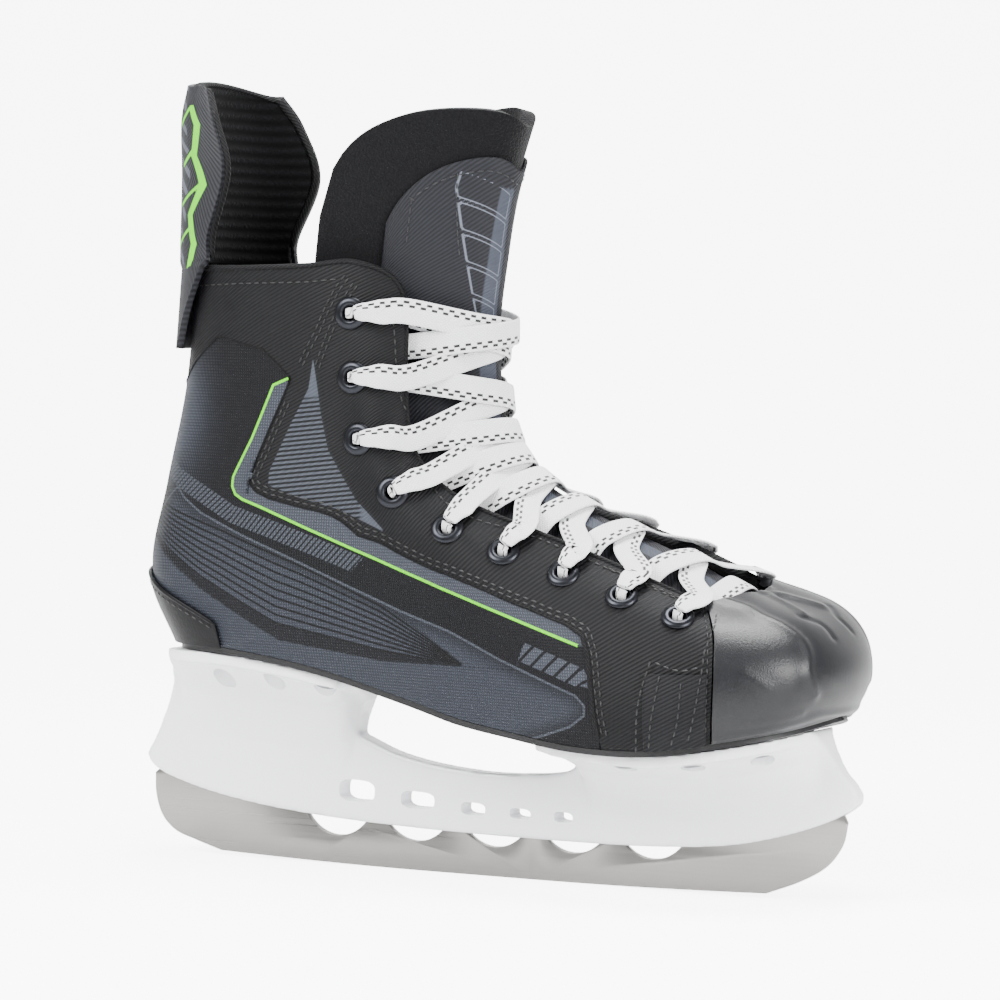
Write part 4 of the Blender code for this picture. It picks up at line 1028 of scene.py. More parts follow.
def roll(name, line, normals, half_across, half_out, around=14):
    """An oval cord laid along a line: half_across lies over the surface and half_out stands up from it."""
    gone = gone_along(line)
    ahead = unit(np.gradient(line, axis=0))
    side = unit(np.cross(normals, ahead))

    def place(a, b):
        at = a * gone[-1]
        middle, left, up = (np.stack([np.interp(at, gone, rows[:, k]) for k in range(3)], -1)
                            for rows in (line, side, normals))
        across = np.interp(at, gone, np.broadcast_to(half_across, gone.shape))
        out = np.interp(at, gone, np.broadcast_to(half_out, gone.shape))
        taper = np.sqrt(np.clip(1 - (np.abs(2 * a - 1)) ** 60, 0.02, 1))
        angle = 2 * math.pi * b
        return (middle + left * (np.cos(angle) * across * taper)[:, None]
                + up * (np.sin(angle) * out * taper)[:, None])

    piece = drape(name, max(int(gone[-1] / 1.2), 8), around, place, 0,
                  cloth=lambda a, b, points: np.stack([a * gone[-1], b * 9], -1) * MM)
    take(piece)
    face_out(merge=True)
    smooth(piece, 80)
    return piece


def collar_binding():
    """Rolled twill over the top edge, wide at the padded collar and narrow down both eyestays."""
    u = np.linspace(10.95, -10.95, 700)
    v = np.full(u.shape, TOP)
    wide = np.interp(np.abs(u), (3, 4.2), (2.9, 2.2))
    line, normals = boot(u, v, 0.7 - wide), boot_normal(u, v)
    piece = roll("collar_binding", line, unit(normals), 1.25, wide)
    own_up(piece, bpy.data.materials["bound_twill_edge"], "boot")


# The toe cap's ridges and, below 0, its hollow: (height, width, path of (u, v)).
CAP_RIDGES = (
    (0.8, 2.4, ((11.4, 4.0), (11.68, 3.66), (11.77, 3.31), (11.91, 3.01), (12.03, 2.72), (12.11, 2.46),
                (12.13, 2.16), (12.11, 1.70), (12.22, 1.14))),
    (0.8, 2.4, ((12.7, 3.99), (13.0, 3.9), (13.21, 3.8), (13.31, 3.54), (13.4, 3.25))),
    (-0.45, 1.8, ((12.43, 3.13), (12.68, 2.88), (12.7, 2.49))),
    (0.3, 2.4, ((11.38, 1.89), (11.5, 1.68), (11.63, 1.44))),
    (0.35, 2.0, ((11.54, 0.62), (11.84, 0.58), (12.11, 0.66))),
)


def cap_relief(u, v):
    """How far the toe cap's moulded ridges stand out, in millimetres."""
    points, out = boot(u, v), np.zeros(u.shape)
    for height, width, path in CAP_RIDGES:
        for places in (path, other_side(path)):
            p, q = smooth_path(places, 60).T
            line = boot(p, np.clip(q, 0, TOP))
            nearest = np.min(np.linalg.norm(points[:, None] - line[None], axis=2), axis=1)
            swell = height * np.exp(-(nearest / width) ** 2)
            out = np.where(np.abs(swell) > np.abs(out), swell, out)
    lip = 0.7 * np.exp(-((points[:, 2] - sole(points[:, 0]) - 4.2) / 1.3) ** 2)
    return out + lip


def toe_cap():
    """The moulded cap round the toe, with its ridges and its lower lip."""
    colours = bpy.context.scene.skate_colours
    material = plastic_finish("satin_moulded_toe_cap", colours.cap, 0.36, 0.00004)

    def at(a, b):
        u = 11.05 + 3.9 * a
        return u, skirt(own(u)) + (TOP - skirt(own(u))) * b

    piece = wall("moulded_toe_cap", at, lambda u, v: 0.6 + cap_relief(u, v), 3.4, 240, 130, rim=0.5)
    own_up(piece, material, "boot", ["toe_cap"])


def patches():
    """The stitched strap patches beside the toe and the leather patch round the heel."""
    # Painted shade in the twill's grooves: the first colour is the grooves', the second the ribs'.
    twill = twill_finish("strap_twill", linear("#060607"), linear("#1b1b1e"))

    def strap(a, b):
        u = 10.1 + 0.87 * a
        return u, skirt(u) + (1.9 - skirt(u)) * b

    for side, medial in SIDES:
        piece = wall(f"strap_patch_{side}", strap, 1.6, 0.9, 50, 90, medial, rim=0.35)
        own_up(piece, twill, "boot", [f"vamp_patch_{side}"])
    leather = leather_finish("smooth_heel_leather", linear("#0c0c0e"))

    def heel(a, b):
        u = 3.6 * a - 1.8
        return u, skirt(np.abs(u)) + (0.12 + 0.8 * (1 - (u / 2.1) ** 2)) * b

    piece = wall("leather_heel_patch", heel, 1.5, 0.8, 200, 70, rim=0.3)
    own_up(piece, leather, "boot", ["heel_patch"])
    u, v = heel(np.linspace(0, 1, 200), 1.0)
    edge = roll("heel_patch_piping", boot(u, v, np.full(u.shape, 0.95)), boot_normal(u, v), 0.9, 0.9, 10)
    own_up(edge, leather, "boot")


def piped_edges():
    """Corded piping along the seam between the printed side and the twill, thickest at its front corner."""
    for side, medial in SIDES:
        k = np.linspace(0.002, 1, 700)
        u, v = seam_at(k)[:2]
        thick = np.interp(k, (0.84, 0.9), (0.35, 0.8))
        u = mirrored(u, medial)
        piece = roll(f"seam_piping_{side}", boot(u, v, np.full(u.shape, 0.05)), boot_normal(u, v), thick * 1.2,
                     thick, 8)
        own_up(piece, bpy.data.materials["bound_twill_edge"], "boot")


def tendon_guard():
    """The guard behind the ankle and its tail: one printed shell, folded at the collar."""
    colours = bpy.context.scene.skate_colours
    tail = 0.26

    def place(a, b):
        turn = 2 * a - 1
        low = np.clip(b / tail, 0, 1)
        v = 3.3 + 0.7 * low
        below = boot(-turn * (0.78 + 0.62 * low), v, np.full(a.shape, 3.0))
        above = guard(np.clip((b - tail - 0.03) / (1 - tail - 0.03), 0, 1) * 4, turn)
        share = np.clip((b - tail) / 0.03, 0, 1)[:, None]
        return below + (above - below) * share

    def print_of(a, b, points):
        turn = 2 * a - 1
        z = points[:, 2]
        reach = 55 * (1 - np.abs(turn))
        wander = 8.5 + 2.6 * (2 * np.abs(((z - 222) / 22) % 1 - 0.5) * 2 - 1) + (z - 222) * 0.02
        branch = np.abs(((z - 222 + 0.55 * reach) / 15) % 1 - 0.5) * 15 + 1.1
        thorn = np.where((reach > 9) & (reach < 22), branch, 99)
        off = np.where((z < 224) | (z > 284), 99, np.minimum(np.abs(reach - wander), thorn))
        field = ((reach > 15) & (z > 226)).astype(float)
        return {"print_guard": (off, z - 0.7 * reach, field)}

    shell = drape("guard_and_tail", 170, 150, place, 2.6, fields=print_of, rim=0.5,
                  cloth=lambda a, b, points: np.stack([a * 120, points[:, 2]], -1) * MM)
    own_up(shell, guard_finish(colours), None, ["tendon_guard_shell", "guard_tail"])
    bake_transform(shell)
    lining = drape("guard_knit_lining", 90, 60, lambda a, b: guard(b * 3.97, (2 * a - 1) * 0.985, -3.0), 2.6, rim=0.8,
                   cloth=lambda a, b, points: np.stack([a * 120, points[:, 2]], -1) * MM)
    own_up(lining, bpy.data.materials["brushed_knit_lining"], "tendon_guard", ["tendon_guard_lining"])
    t = np.linspace(0, 1, 120)
    rows = np.concatenate([t[:60] * 6.6, np.full(120, 4.0), 3.96 - t[:60] * 6.6])
    rows = np.clip(rows, 0.15, 4)
    turns = np.concatenate([np.full(60, -1.0), np.linspace(-1, 1, 120), np.full(60, 1.0)])
    line = guard(rows, turns, -1.4)
    keep = np.concatenate([[True], np.linalg.norm(np.diff(line, axis=0), axis=1) > 0.05])
    line, rows, turns = line[keep], rows[keep], turns[keep]
    normals = unit(guard(rows, turns, 1.0) - guard(rows, turns, 0.0))
    edge = roll("guard_binding", line, normals, 1.3, 1.9, 12)
    own_up(edge, bpy.data.materials["bound_twill_edge"], "tendon_guard")
    inset = guard(rows, turns * 0.93, 0.15)
    inset = inset - np.array([0, 0, 1.0]) * np.where(np.abs(turns) < 0.999, 3.5, 0)[:, None]
    stitches("guard_edge_stitches", [(inset, normals)], "tendon_guard")


def tongue_pieces():
    """The felt tongue, its printed face and the stitches round the face."""
    colours = bpy.context.scene.skate_colours

    def felt(a, b):
        t = 2 * a - 1
        return tongue(0.3 + (tongue_top(t) - 0.3) * b, t, -0.35)

    def flat(a, b, points):
        return np.stack([a * 68, b * 240], -1) * MM

    body = drape("felt_tongue", 130, 330, felt, 5.6, cloth=flat, rim=1.4)
    own_up(body, felt_finish(colours), None, ["tongue_felt_lower", "tongue_felt_upper"])
    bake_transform(body)

    def face(a, b):
        t = (2 * a - 1) * FACE_SHARE
        crest = tongue_top(t / FACE_SHARE * 0.98) - 0.5
        return tongue(0.9 + (crest - 0.9) * b, t, 1.4)

    def print_of(a, b, points):
        y, z = points[:, 1], points[:, 2]
        reach = 2.5 + 5.0 * np.clip((z - 205) / 50, 0, 1)
        rise, beside = z - 0.55 * (np.abs(y) - 11), np.abs(y) - 3.5 - reach
        stacked = np.abs((rise - 205) % 10.5 - 5.25)
        bar = np.maximum(stacked - 4.4, np.abs(beside) - reach)
        bar = np.where((rise < 205) | (rise > 257), 99, bar)
        return {"print_tongue": ((z < 255).astype(float), bar, y)}

    front = drape("tongue_face", 130, 330, face, 1.2, cloth=lambda a, b, p: np.stack([a * 54, b * 230], -1) * MM,
                  fields=print_of, rim=0.3)
    own_up(front, tongue_finish(colours), None, ["tongue_face_lower", "tongue_face_upper"])
    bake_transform(front)
    share = np.concatenate([np.full(120, -1.0), np.linspace(-1, 1, 160), np.full(120, 1.0)]) * 0.9
    crest = tongue_top(share * 0.98) - 0.5
    rows = np.concatenate([np.linspace(10.2, crest[0] - 0.12, 120), crest[120:280] - 0.16,
                           np.linspace(crest[-1] - 0.12, 10.2, 120)])
    line, up = tongue(rows, share * FACE_SHARE, 1.5), tongue(rows, share * FACE_SHARE, 2.5)
    sewn = [(line, unit(up - line))]
    for side in (-1, 1):
        s, t = np.linspace(11.15, 10.1, 80), side * np.linspace(0.55, 0.47, 80)
        sewn.append((tongue(s, t, 1.5), unit(tongue(s, t, 2.5) - tongue(s, t, 1.5))))
    stitches("tongue_border_stitches", sewn, "tongue_top")


def stitching():
    """Every stitched row of the boot, doubled where the leather is double stitched."""
    rows = []

    def row(points, offsets=(0,), out=0.15, sides=True):
        path = [spot(x, z) for x, z in points]
        for places in (path, other_side(path)) if sides else (path,):
            rows.extend(uv_row(places, offset, out) for offset in offsets)

    row(COLLAR_ROW, (0,))
    row(EYESTAY_ROW)
    for points in QUARTER_ROWS:
        row(points, (-0.9, 0.9))
    for points in STRAP_ROWS:
        row(points, out=1.75)
    beside_seam = [tuple(place) for place in np.column_stack(seam_at(np.linspace(0.3, 0.995, 60))[:2])]
    for places in (beside_seam, other_side(beside_seam)):
        side = 1 if places is beside_seam else -1
        rows.extend(uv_row(places, side * offset, 0.15) for offset in (1.6, 3.4))
    for medial in (False, True):
        u = mirrored(np.linspace(9.8, 10.98, 60), medial)
        v = np.full(u.shape, 3.85)
        rows.append((boot(u, v, np.full(u.shape, 0.15)), boot_normal(u, v)))
        v = np.linspace(0.5, 3.9, 120)
        u = np.full(v.shape, mirrored(10.97, medial))
        rows.append((boot(u, v, np.full(u.shape, 0.15)), boot_normal(u, v)))
    u = np.linspace(-1.7, 1.7, 200)
    v = skirt(np.abs(u)) + 0.12 + 0.8 * (1 - (u / 2.1) ** 2) - 0.09
    rows.append((boot(u, v, np.full(u.shape, 1.6)), boot_normal(u, v)))
    stitches("boot_stitches", rows, "boot")


def eyelets():
    """Eighteen rolled rings, copied from one."""
    colours = bpy.context.scene.skate_colours
    material = brushed_finish("dark_nickel_eyelet", colours.eyelet, 0.3, (500, 500, 500))
    profile = [(2.75, -4.3), (2.7, 0.2), (2.8, 0.8), (3.1, 1.25), (3.7, 1.45), (4.6, 1.35), (5.4, 1.0), (5.85, 0.65),
               (6.0, 0.4), (5.9, 0.15), (5.0, 0.1), (3.4, 0.1), (3.3, -4.3)]
    ring = turned("eyelet_ring", profile, 48)
    smooth(ring, 50)
    for side, medial in SIDES:
        for number, (x, z) in enumerate(EYELETS, 1):
            u, v = spot(x, z)
            piece = copy_at(ring, f"eyelet_ring_{side}_{number}", square_to_wall(mirrored(u, medial), v))
            own_up(piece, material, "boot", [f"eyelet_{side}_{number}"])
    bpy.data.objects.remove(ring)


def lace_route():
    """Stations down the lace as (point, flat direction, pinch), from one tucked end to the other."""
    count = len(EYELETS)
    anchors = {}
    for k in range(count):
        (edge, _), (u, v) = spot(*EYESTAY_EDGE[k], on_edge=True), spot(*EYELETS[k])
        anchors[-1, k] = (boot(u, v), boot_normal(u, v), u, v, edge)
        u = ROUND - u
        anchors[1, k] = (boot(u, v), boot_normal(u, v), u, v, ROUND - edge)

    def beside(side, k, share, out):
        """On the wall, share of the straight way from eyelet k to the eyestay's edge."""
        (x, z), (edge_x, edge_z) = EYELETS[k], EYESTAY_EDGE[k]
        u, v = spot(x + (edge_x - x) * share, z + (edge_z - z) * share) if share < 1 else (anchors[-1, k][4], TOP)
        u, v = mirrored(u, side > 0), min(v, TOP)
        return boot(u, v, out), boot_normal(u, v)

    def over_tongue(s, t, out):
        return tongue(s, t, out), unit(tongue(s, t, 1) - tongue(s, t, 0))

    def tuck(side):
        stations = []
        edge, end = spot(*TUCK_EDGE, on_edge=True), spot(*TUCK_END)
        for share, out in ((0, -7.4), (0.5, -7.0), (1, -6.8)):
            u, v = edge[0] + (end[0] - edge[0]) * share, edge[1] + (end[1] - edge[1]) * share
            u = u if side < 0 else ROUND - u
            stations.append((boot(u, v, out), boot_normal(u, v), 0.0))
        return stations

    def strand(side, k):
        centre, normal, *_ = anchors[side, k]
        forward = unit(beside(side, k, 0.3, 0)[0] - centre)
        rise = (LACE_UNDER if side < 0 else LACE_OVER) + (0 if k else TOP_STRANDS_UP)
        s0, s1 = LACE_S[k], LACE_S[k - 1] if k else TUCK_S
        stations = [(centre - normal * 5.4, forward, 1.0), (centre + normal * 1.9, forward, 1.0)]
        rising = ((0.3, 3.2, 0.45), (0.62, 2.6, 0.05), (1.0, 2.5, 0.0))
        stations += [(*beside(side, k, share, out), pinch) for share, out, pinch in rising]
        for share, t in ((0.3, 0.36), (0.5, 0.0), (0.72, -0.4)):
            stations.append((*over_tongue(s0 + (s1 - s0) * share, side * t, rise), 0.0))
        if not k:
            return stations + tuck(-side)
        under = (*beside(-side, k - 1, 1.0, -LACE_SLIP[k - 1]), 0.0)
        return [*stations, under, (*beside(-side, k - 1, 0.5, -6.8), 0.4)]

    def half(side):
        stations = []
        for k in range(count - 1, -1, -1):
            stations += strand(side, k)
            side = -side
        return stations

    def bar_end(side):
        return [(*beside(side, count - 1, 0.5, -6.3), 0.4), (*beside(side, count - 1, 1.0, -5.9), 0.0)]

    bar = [*bar_end(-1), (*over_tongue(1.15, 0, LACE_UNDER), 0.0), *reversed(bar_end(1))]
    return list(reversed(half(-1))) + bar + half(1)


def lace():
    """One flat lace, held all the way by its eyelets: it narrows where it passes through each."""
    sizes = bpy.context.scene.skate_sizes
    width, thickness = round(sizes.lace_width / MM, 3), round(sizes.lace_thickness / MM, 3)
    stations = lace_route()
    points = np.array([p for p, _, _ in stations])
    pinches = np.array([pinch for _, _, pinch in stations])
    faces = [stations[0][1]]
    for _, flat, _ in stations[1:]:
        faces.append(flat if flat @ faces[-1] > 0 else -flat)
    spans = np.linalg.norm(np.diff(points, axis=0), axis=1)
    places = np.concatenate([np.arange(0, 1, 1.1 / span) + i for i, span in enumerate(spans)] + [[len(spans)]])
    line, face = curve(points, places), np.array(faces)
    index = np.clip(places.astype(int), 0, len(spans) - 1)
    share = (places - index)[:, None]
    share = share * share * (3 - 2 * share)
    up = face[index] * (1 - share) + face[index + 1] * share
    pinch = pinches[index] * (1 - share[:, 0]) + pinches[index + 1] * share[:, 0]
    ahead = unit(np.gradient(line, axis=0))
    up = unit(up - ahead * np.sum(up * ahead, 1)[:, None])
    for _ in range(4):
        up[1:-1] = unit(up[:-2] + 2 * up[1:-1] + up[2:])
    up = unit(up - ahead * np.sum(up * ahead, 1)[:, None])
    side = np.cross(ahead, up)
    gone = gone_along(line)
    wide, thick = (width - LACE_NARROWS * pinch) / 2, (thickness + LACE_THICKENS * pinch) / 2
    ring = 16
    deselect()
    bpy.ops.mesh.primitive_grid_add(x_subdivisions=len(line) - 1, y_subdivisions=ring, size=1)
    piece = named("flat_lace")
    a, b = (points_of(piece)[:, :2] + 0.5).astype(float).T
    row = np.rint(a * (len(line) - 1)).astype(int)
    angle = 2 * math.pi * b
    across = np.sign(np.cos(angle)) * np.abs(np.cos(angle)) ** 0.45
    lift = np.sign(np.sin(angle)) * np.abs(np.sin(angle)) ** 0.6
    made = line[row] + side[row] * (across * wide[row])[:, None] + up[row] * (lift * thick[row])[:, None]
    piece.data.vertices.foreach_set("co", (made * MM).astype(np.float32).ravel())
    write_map(piece.data, np.stack([gone[row], across * width / 2], -1) * MM)
    face_out(merge=True)
    smooth(piece, 60)
    own_up(piece, lace_finish(bpy.context.scene.skate_colours), "boot", ["lace"])


# ------------------------------------------------------------ soles, holder and runner

def slab(name, inset, lift, thick):
    """A layer of the sole, cut inset mm inside the boot's edge."""
    u = np.linspace(0, TOE, 1200)
    edge = bare(u, 0.0)
    ahead = bare(u + 0.05, 0.0) - bare(u - 0.05, 0.0)
    inward = unit(np.stack([-ahead[:, 1], ahead[:, 0], 0 * u], -1))
    edge = edge + inward * inset

    def place(a, b):
        turn = (1 - np.cos(b * math.pi)) / 2 * TOE
        x, y = (np.interp(turn, u, edge[:, k]) for k in (0, 1))
        return settle(np.stack([x, y * (2 * a - 1), sole(x) + lift + thick], -1))

    return drape(name, 30, 220, place, thick)


def soles():
    """The outsole and the footbed."""
    colours = bpy.context.scene.skate_colours
    outsole = slab("moulded_outsole", 0.1, 0.0, SOLE_THICK)
    own_up(outsole, plastic_finish("black_outsole", colours.black, 0.45, 0.00005), "boot", ["outsole"])
    bed = slab("foam_footbed", 10.5, 8.0, 4.0)
    own_up(bed, knit_finish("footbed_cloth", "#3a3b40", 0.0012), "boot", ["footbed"])


def tower(name, stations, count=110):
    """One flared tower of the holder, lofted through its stations."""
    rows = []
    for x, low, half, top in stations:
        over = sole(x) + FLANGE_TOP if top is None else top
        rows.append((x, low, half, over, over - FLANGE_THICK if top is None else over - (over - low) * 0.1))
    x, low, half, over, under = smooth_path(rows, count).T
    topped = [r[0] for r in stations if r[3] is None]
    held = (x >= min(topped)) & (x <= max(topped))
    over = np.where(held, sole(x) + FLANGE_TOP, over)
    core = np.minimum(4.2, half)
    profile = np.array([w for w, _ in TOWER_FLARE] + [1, 1])
    rises = np.array([r for _, r in TOWER_FLARE])
    points = []
    for k in range(count):
        z = np.concatenate([low[k] + (under[k] - low[k]) * rises, [under[k], over[k]]])
        y = core[k] + (half[k] - core[k]) * profile
        points += [(x[k], -a, b) for a, b in zip(y, z)] + [(x[k], a, b) for a, b in zip(y[::-1], z[::-1])]
    sides = 2 * len(profile)
    faces = [tuple(range(sides)), tuple(range(len(points) - sides, len(points)))]
    for i in range(count - 1):
        for k in range(sides):
            n, a, b = (k + 1) % sides, i * sides, (i + 1) * sides
            faces.append((a + k, a + n, b + n, b + k))
    piece = fresh(name, (np.array(points) * MM).tolist(), [], faces)
    face_out()
    return piece


def runner_top(clearance=0.0):
    """The runner's upper edge from front to rear, or the slot's, that much wider."""
    deep, seat = DEEP_TOP + clearance, SEATED_TOP + clearance
    ahead, behind = SEATED_TO - clearance, SEATED_FROM + clearance
    lugs = []
    for x, z in zip(BOLTS, BOLT_LUG_TOP):
        back, front = x - BOLT_LUG_HALF - clearance, x + BOLT_LUG_HALF + clearance
        lugs.append([(front, deep), (front, z + clearance), (back, z + clearance), (back, deep)])
    seated = [(ahead, deep), (ahead, seat), (behind, seat), (behind, deep)]
    return [(140, deep), *lugs[1], *seated, *lugs[0], (-139, deep - 1)]


def rounded(outline, share=0.12, rounds=3):
    """The outline with its corners cut again and again, so that they round off."""
    points = np.array(outline, float)
    for _ in range(rounds):
        after = np.roll(points, -1, axis=0)
        points = np.stack([points + (after - points) * share, after - (after - points) * share], 1).reshape(-1, 2)
    return [tuple(p) for p in points]


def holder():
    """The white holder: a sheath and two towers made one, smoothed, then cut for the runner and the fixings."""
    colours = bpy.context.scene.skate_colours
    sheath = extruded("white_blade_holder", rounded(SHEATH, 0.25, 2), 4.6)
    for number, stations in enumerate((REAR_TOWER, FRONT_TOWER)):
        cut(sheath, tower(f"tower_{number}", stations), "UNION")
    modify(sheath, "REMESH", mode="VOXEL", voxel_size=0.95 * MM)
    modify(sheath, "SMOOTH", factor=0.5, iterations=4)
    seat = DEEP_TOP + 0.4
    slot = [(-141.8, -10), (-141.8, seat), *reversed(runner_top(0.4)), (142.4, seat), (142.4, -10)]
    cut(sheath, extruded("slot", slot, 1.8))
    windows = []
    for left, right, low, high in WINDOWS:
        box = ((left, low), (right, low), (right, high - 0.5), (left, high))
        windows.append(extruded("window", rounded(box, 0.2, 3), 12))
    cut(sheath, joined(windows))
    for x, lug in zip(BOLTS, BOLT_LUG_TOP):
        low, high = lug - 7.4, lug + 4.4
        cut(sheath, extruded("pocket", ((x - 4.4, low), (x + 4.4, low), (x + 4.4, high), (x - 4.4, high)), 3.7))
    wells = []
    under = FLANGE_TOP - FLANGE_THICK
    for matrix in rivet_places():
        profile = [(0, -14), (4.4, -14), (4.4, under - 0.05), (2.5, under - 0.05), (2.5, 14), (0, 14)]
        well = turned("well", profile, 32)
        well.data.transform(matrix)
        wells.append(well)
    cut(sheath, joined(wells))
    smooth(sheath, 35)
    write_map(sheath.data, points_of(sheath)[:, [0, 2]])
    material = plastic_finish("gloss_white_nylon", colours.white, 0.22, 0.00002, coat=0.3)
    own_up(sheath, material, "boot", ["blade_holder"])


def rivet_places():
    """Where each rivet stands, square to the sole."""
    places = []
    for x, half in RIVETS:
        tilt = math.atan2(sole(x + 6) - sole(x - 6), 12)
        for y in (-half, half):
            centre = settle(np.array([x, y, sole(x)]))
            places.append(Matrix.Translation(Vector(centre) * MM) @ Matrix.Rotation(-tilt, 4, "Y"))
    return places


def rivets():
    """Twelve domed rivets, copied from one."""
    material = brushed_finish("zinc_rivet", linear("#8d8f92"), 0.4, (400, 400, 400))
    under, grip = FLANGE_TOP - FLANGE_THICK - 0.35, 2.7 + 2.0 + 0.35
    profile = [(0, under - 1.1), (2.2, under - 1.0), (3.2, under - 0.7), (3.8, under - 0.1), (3.7, under),
               (2.0, under), (2.0, grip), (3.8, grip), (3.5, grip + 0.7), (2.4, grip + 1.15), (0, grip + 1.2)]
    shape = turned("rivet", profile, 32)
    smooth(shape, 40)
    names = [f"{side}_{number}" for number in range(1, len(RIVETS) + 1) for side in ("lateral", "medial")]
    for name, matrix in zip(names, rivet_places()):
        piece = copy_at(shape, f"domed_rivet_{name}", matrix)
        own_up(piece, material, "boot", [f"rivet_{name}"])
    bpy.data.objects.remove(shape)


def runner():
    """The ground steel runner, with its rocker, its scooped top and its eased edges."""
    x = np.linspace(-ROCKER_REACH, ROCKER_REACH, 160)
    flat = np.maximum(np.abs(x) - FLAT_HALF, 0) ** 2 / (2 * ROCKER_RADIUS)
    heel = smooth_path(((-141.5, 30), (-141, 21.5), (-138, 13.5), (-132, 8), (-123, 4.9), (x[0], flat[0])), 40)[:-1]
    toe = smooth_path(((x[-1], flat[-1]), (124, 6.5), (134, 12.5), (140, 20.5), (142, 29)), 40)[1:]
    outline = [tuple(p) for p in heel] + list(zip(x, flat)) + [tuple(p) for p in toe] + runner_top()
    plate = extruded("steel_runner", outline, 1.5)
    scoops = []
    for middle in SCALLOPS:
        angles = np.radians(np.linspace(180, 360, 40))
        arc = [(middle + SCALLOP_RADIUS * math.cos(t), SCALLOP_Z + SCALLOP_RADIUS * math.sin(t)) for t in angles]
        scoops.append(extruded("scoop", arc, 5))
    cut(plate, joined(scoops))
    modify(plate, "BEVEL", width=0.12 * MM, segments=2, limit_method="ANGLE", angle_limit=math.radians(50))
    smooth(plate, 30)
    material = brushed_finish("ground_stainless_runner", bpy.context.scene.skate_colours.runner, 0.3)
    own_up(plate, material, "boot", ["runner"])


def carried_nodes():
    """Finishes for the hidden pieces that keep their frame shape."""
    board = knit_finish("pressed_fibre_board", "#4a4035", 0.004, 0.0001)
    steel = brushed_finish("zinc_plated_fixings", linear("#9a9b9d"), 0.42, (300, 300, 300))
    lining = felt_finish(bpy.context.scene.skate_colours)
    lining.name = "toe_lining_felt"
    for material, names in (
        (board, ("quarter_board_lateral", "quarter_board_medial", "insole_board")),
        (steel, ("runner_bolt_rear", "runner_bolt_front", "runner_nut_rear", "runner_nut_front")),
        (lining, ("toe_lining",)),
    ):
        for name in names:
            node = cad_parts[name]
            node.data.materials.clear()
            node.data.materials.append(material)


def shared_finishes():
    """The thread and the bound edge, that several pieces wear."""
    thread_finish()
    # The bound edge's twill: painted shade in its grooves (first colour), its ribs lighter (second).
    twill_finish("bound_twill_edge", linear("#050506"), linear("#141416"), 0.0011, 35, 0.6)


# ------------------------------------------------------------ stage

CAMERA_TURN, CAMERA_TILT, CAMERA_ROLL = math.radians(25), math.radians(2.2), math.radians(1.1)
CAMERA_AIM, CAMERA_AWAY, CAMERA_LENS = (0.0025, 0, 0.140), 1.5, 145.6
PAPER_FLAT, PAPER_BEND, PAPER_GLOW = 0.9, 0.9, 5.5
# Each soft light: its name, place, aim, size in metres and power in watts.
SOFTBOXES = (
    ("key_softbox", (-0.7, -1.3, 1.3), (0, 0, 0.15), 0.9, 62),
    ("fill_softbox", (1.5, -0.7, 0.8), (0, 0, 0.12), 0.8, 46),
    ("top_softbox", (0.1, 0.2, 1.7), (0, 0, 0.1), 0.8, 60),
)


def sweep():
    """Pale paper that lies flat under the skate and bends up behind it. Its glow is seen and lights nothing."""
    white, tree, shader = finish("studio_paper", Base_Color=(*linear("#f7f7f7"), 1), Roughness=0.9,
                                 Emission_Color=(1, 1, 1, 1))
    seen = put(tree, "ShaderNodeLightPath").outputs["Is Camera Ray"]
    glow = put(tree, "ShaderNodeMath", {0: seen, 1: PAPER_GLOW}, operation="MULTIPLY").outputs[0]
    tree.links.new(glow, shader.inputs["Emission Strength"])
    deselect()
    bpy.ops.mesh.primitive_grid_add(x_subdivisions=2, y_subdivisions=80, size=1)
    paper = named("studio_sweep")
    away = Vector((-math.sin(CAMERA_TURN), math.cos(CAMERA_TURN), 0))
    aside = Vector((math.cos(CAMERA_TURN), math.sin(CAMERA_TURN), 0))
    for vertex in paper.data.vertices:
        along = (vertex.co.y + 0.5) * 5.0 - 2.0
        bend = min(max((along - PAPER_FLAT) / 1.4, 0), 1)
        ground = min(along, PAPER_FLAT) + math.sin(bend * math.pi / 2) * PAPER_BEND
        rise = (1 - math.cos(bend * math.pi / 2)) * PAPER_BEND + max(along - 2.3, 0)
        vertex.co = away * ground + aside * vertex.co.x * 6 + Vector((0, 0, rise))
    smooth(paper, 60)
    paper.data.materials.append(white)
    return paper


def stage():
    """The floor, three soft lights, a white world and the camera."""
    paper = sweep()
    for name, place, aim, size, power in SOFTBOXES:
        bpy.ops.object.light_add(type="AREA", location=place)
        lamp = bpy.context.object
        lamp.name = name
        lamp.data.size, lamp.data.energy = size, power
        lamp.rotation_euler = (Vector(aim) - Vector(place)).to_track_quat("-Z", "Y").to_euler()
    world = bpy.data.worlds.new("studio_white")
    bpy.context.scene.world = world
    world.use_nodes = True
    world.node_tree.nodes["Background"].inputs[0].default_value = (1, 1, 1, 1)
    world.node_tree.nodes["Background"].inputs[1].default_value = 0.8
    back = Vector((math.sin(CAMERA_TURN) * math.cos(CAMERA_TILT), -math.cos(CAMERA_TURN) * math.cos(CAMERA_TILT),
                   math.sin(CAMERA_TILT)))
    right = Vector((math.cos(CAMERA_TURN), math.sin(CAMERA_TURN), 0))
    up = back.cross(right)
    across = right * math.cos(CAMERA_ROLL) + up * math.sin(CAMERA_ROLL)
    above = up * math.cos(CAMERA_ROLL) - right * math.sin(CAMERA_ROLL)
    bpy.ops.object.camera_add()
    camera = bpy.context.object
    camera.name = "camera"
    camera.data.lens, camera.data.sensor_width = CAMERA_LENS, 36
    place = Matrix((across, above, back)).transposed().to_4x4()
    place.translation = Vector(CAMERA_AIM) + back * CAMERA_AWAY
    camera.matrix_world = place
    bpy.context.scene.camera = camera


# ------------------------------------------------------------ add-on

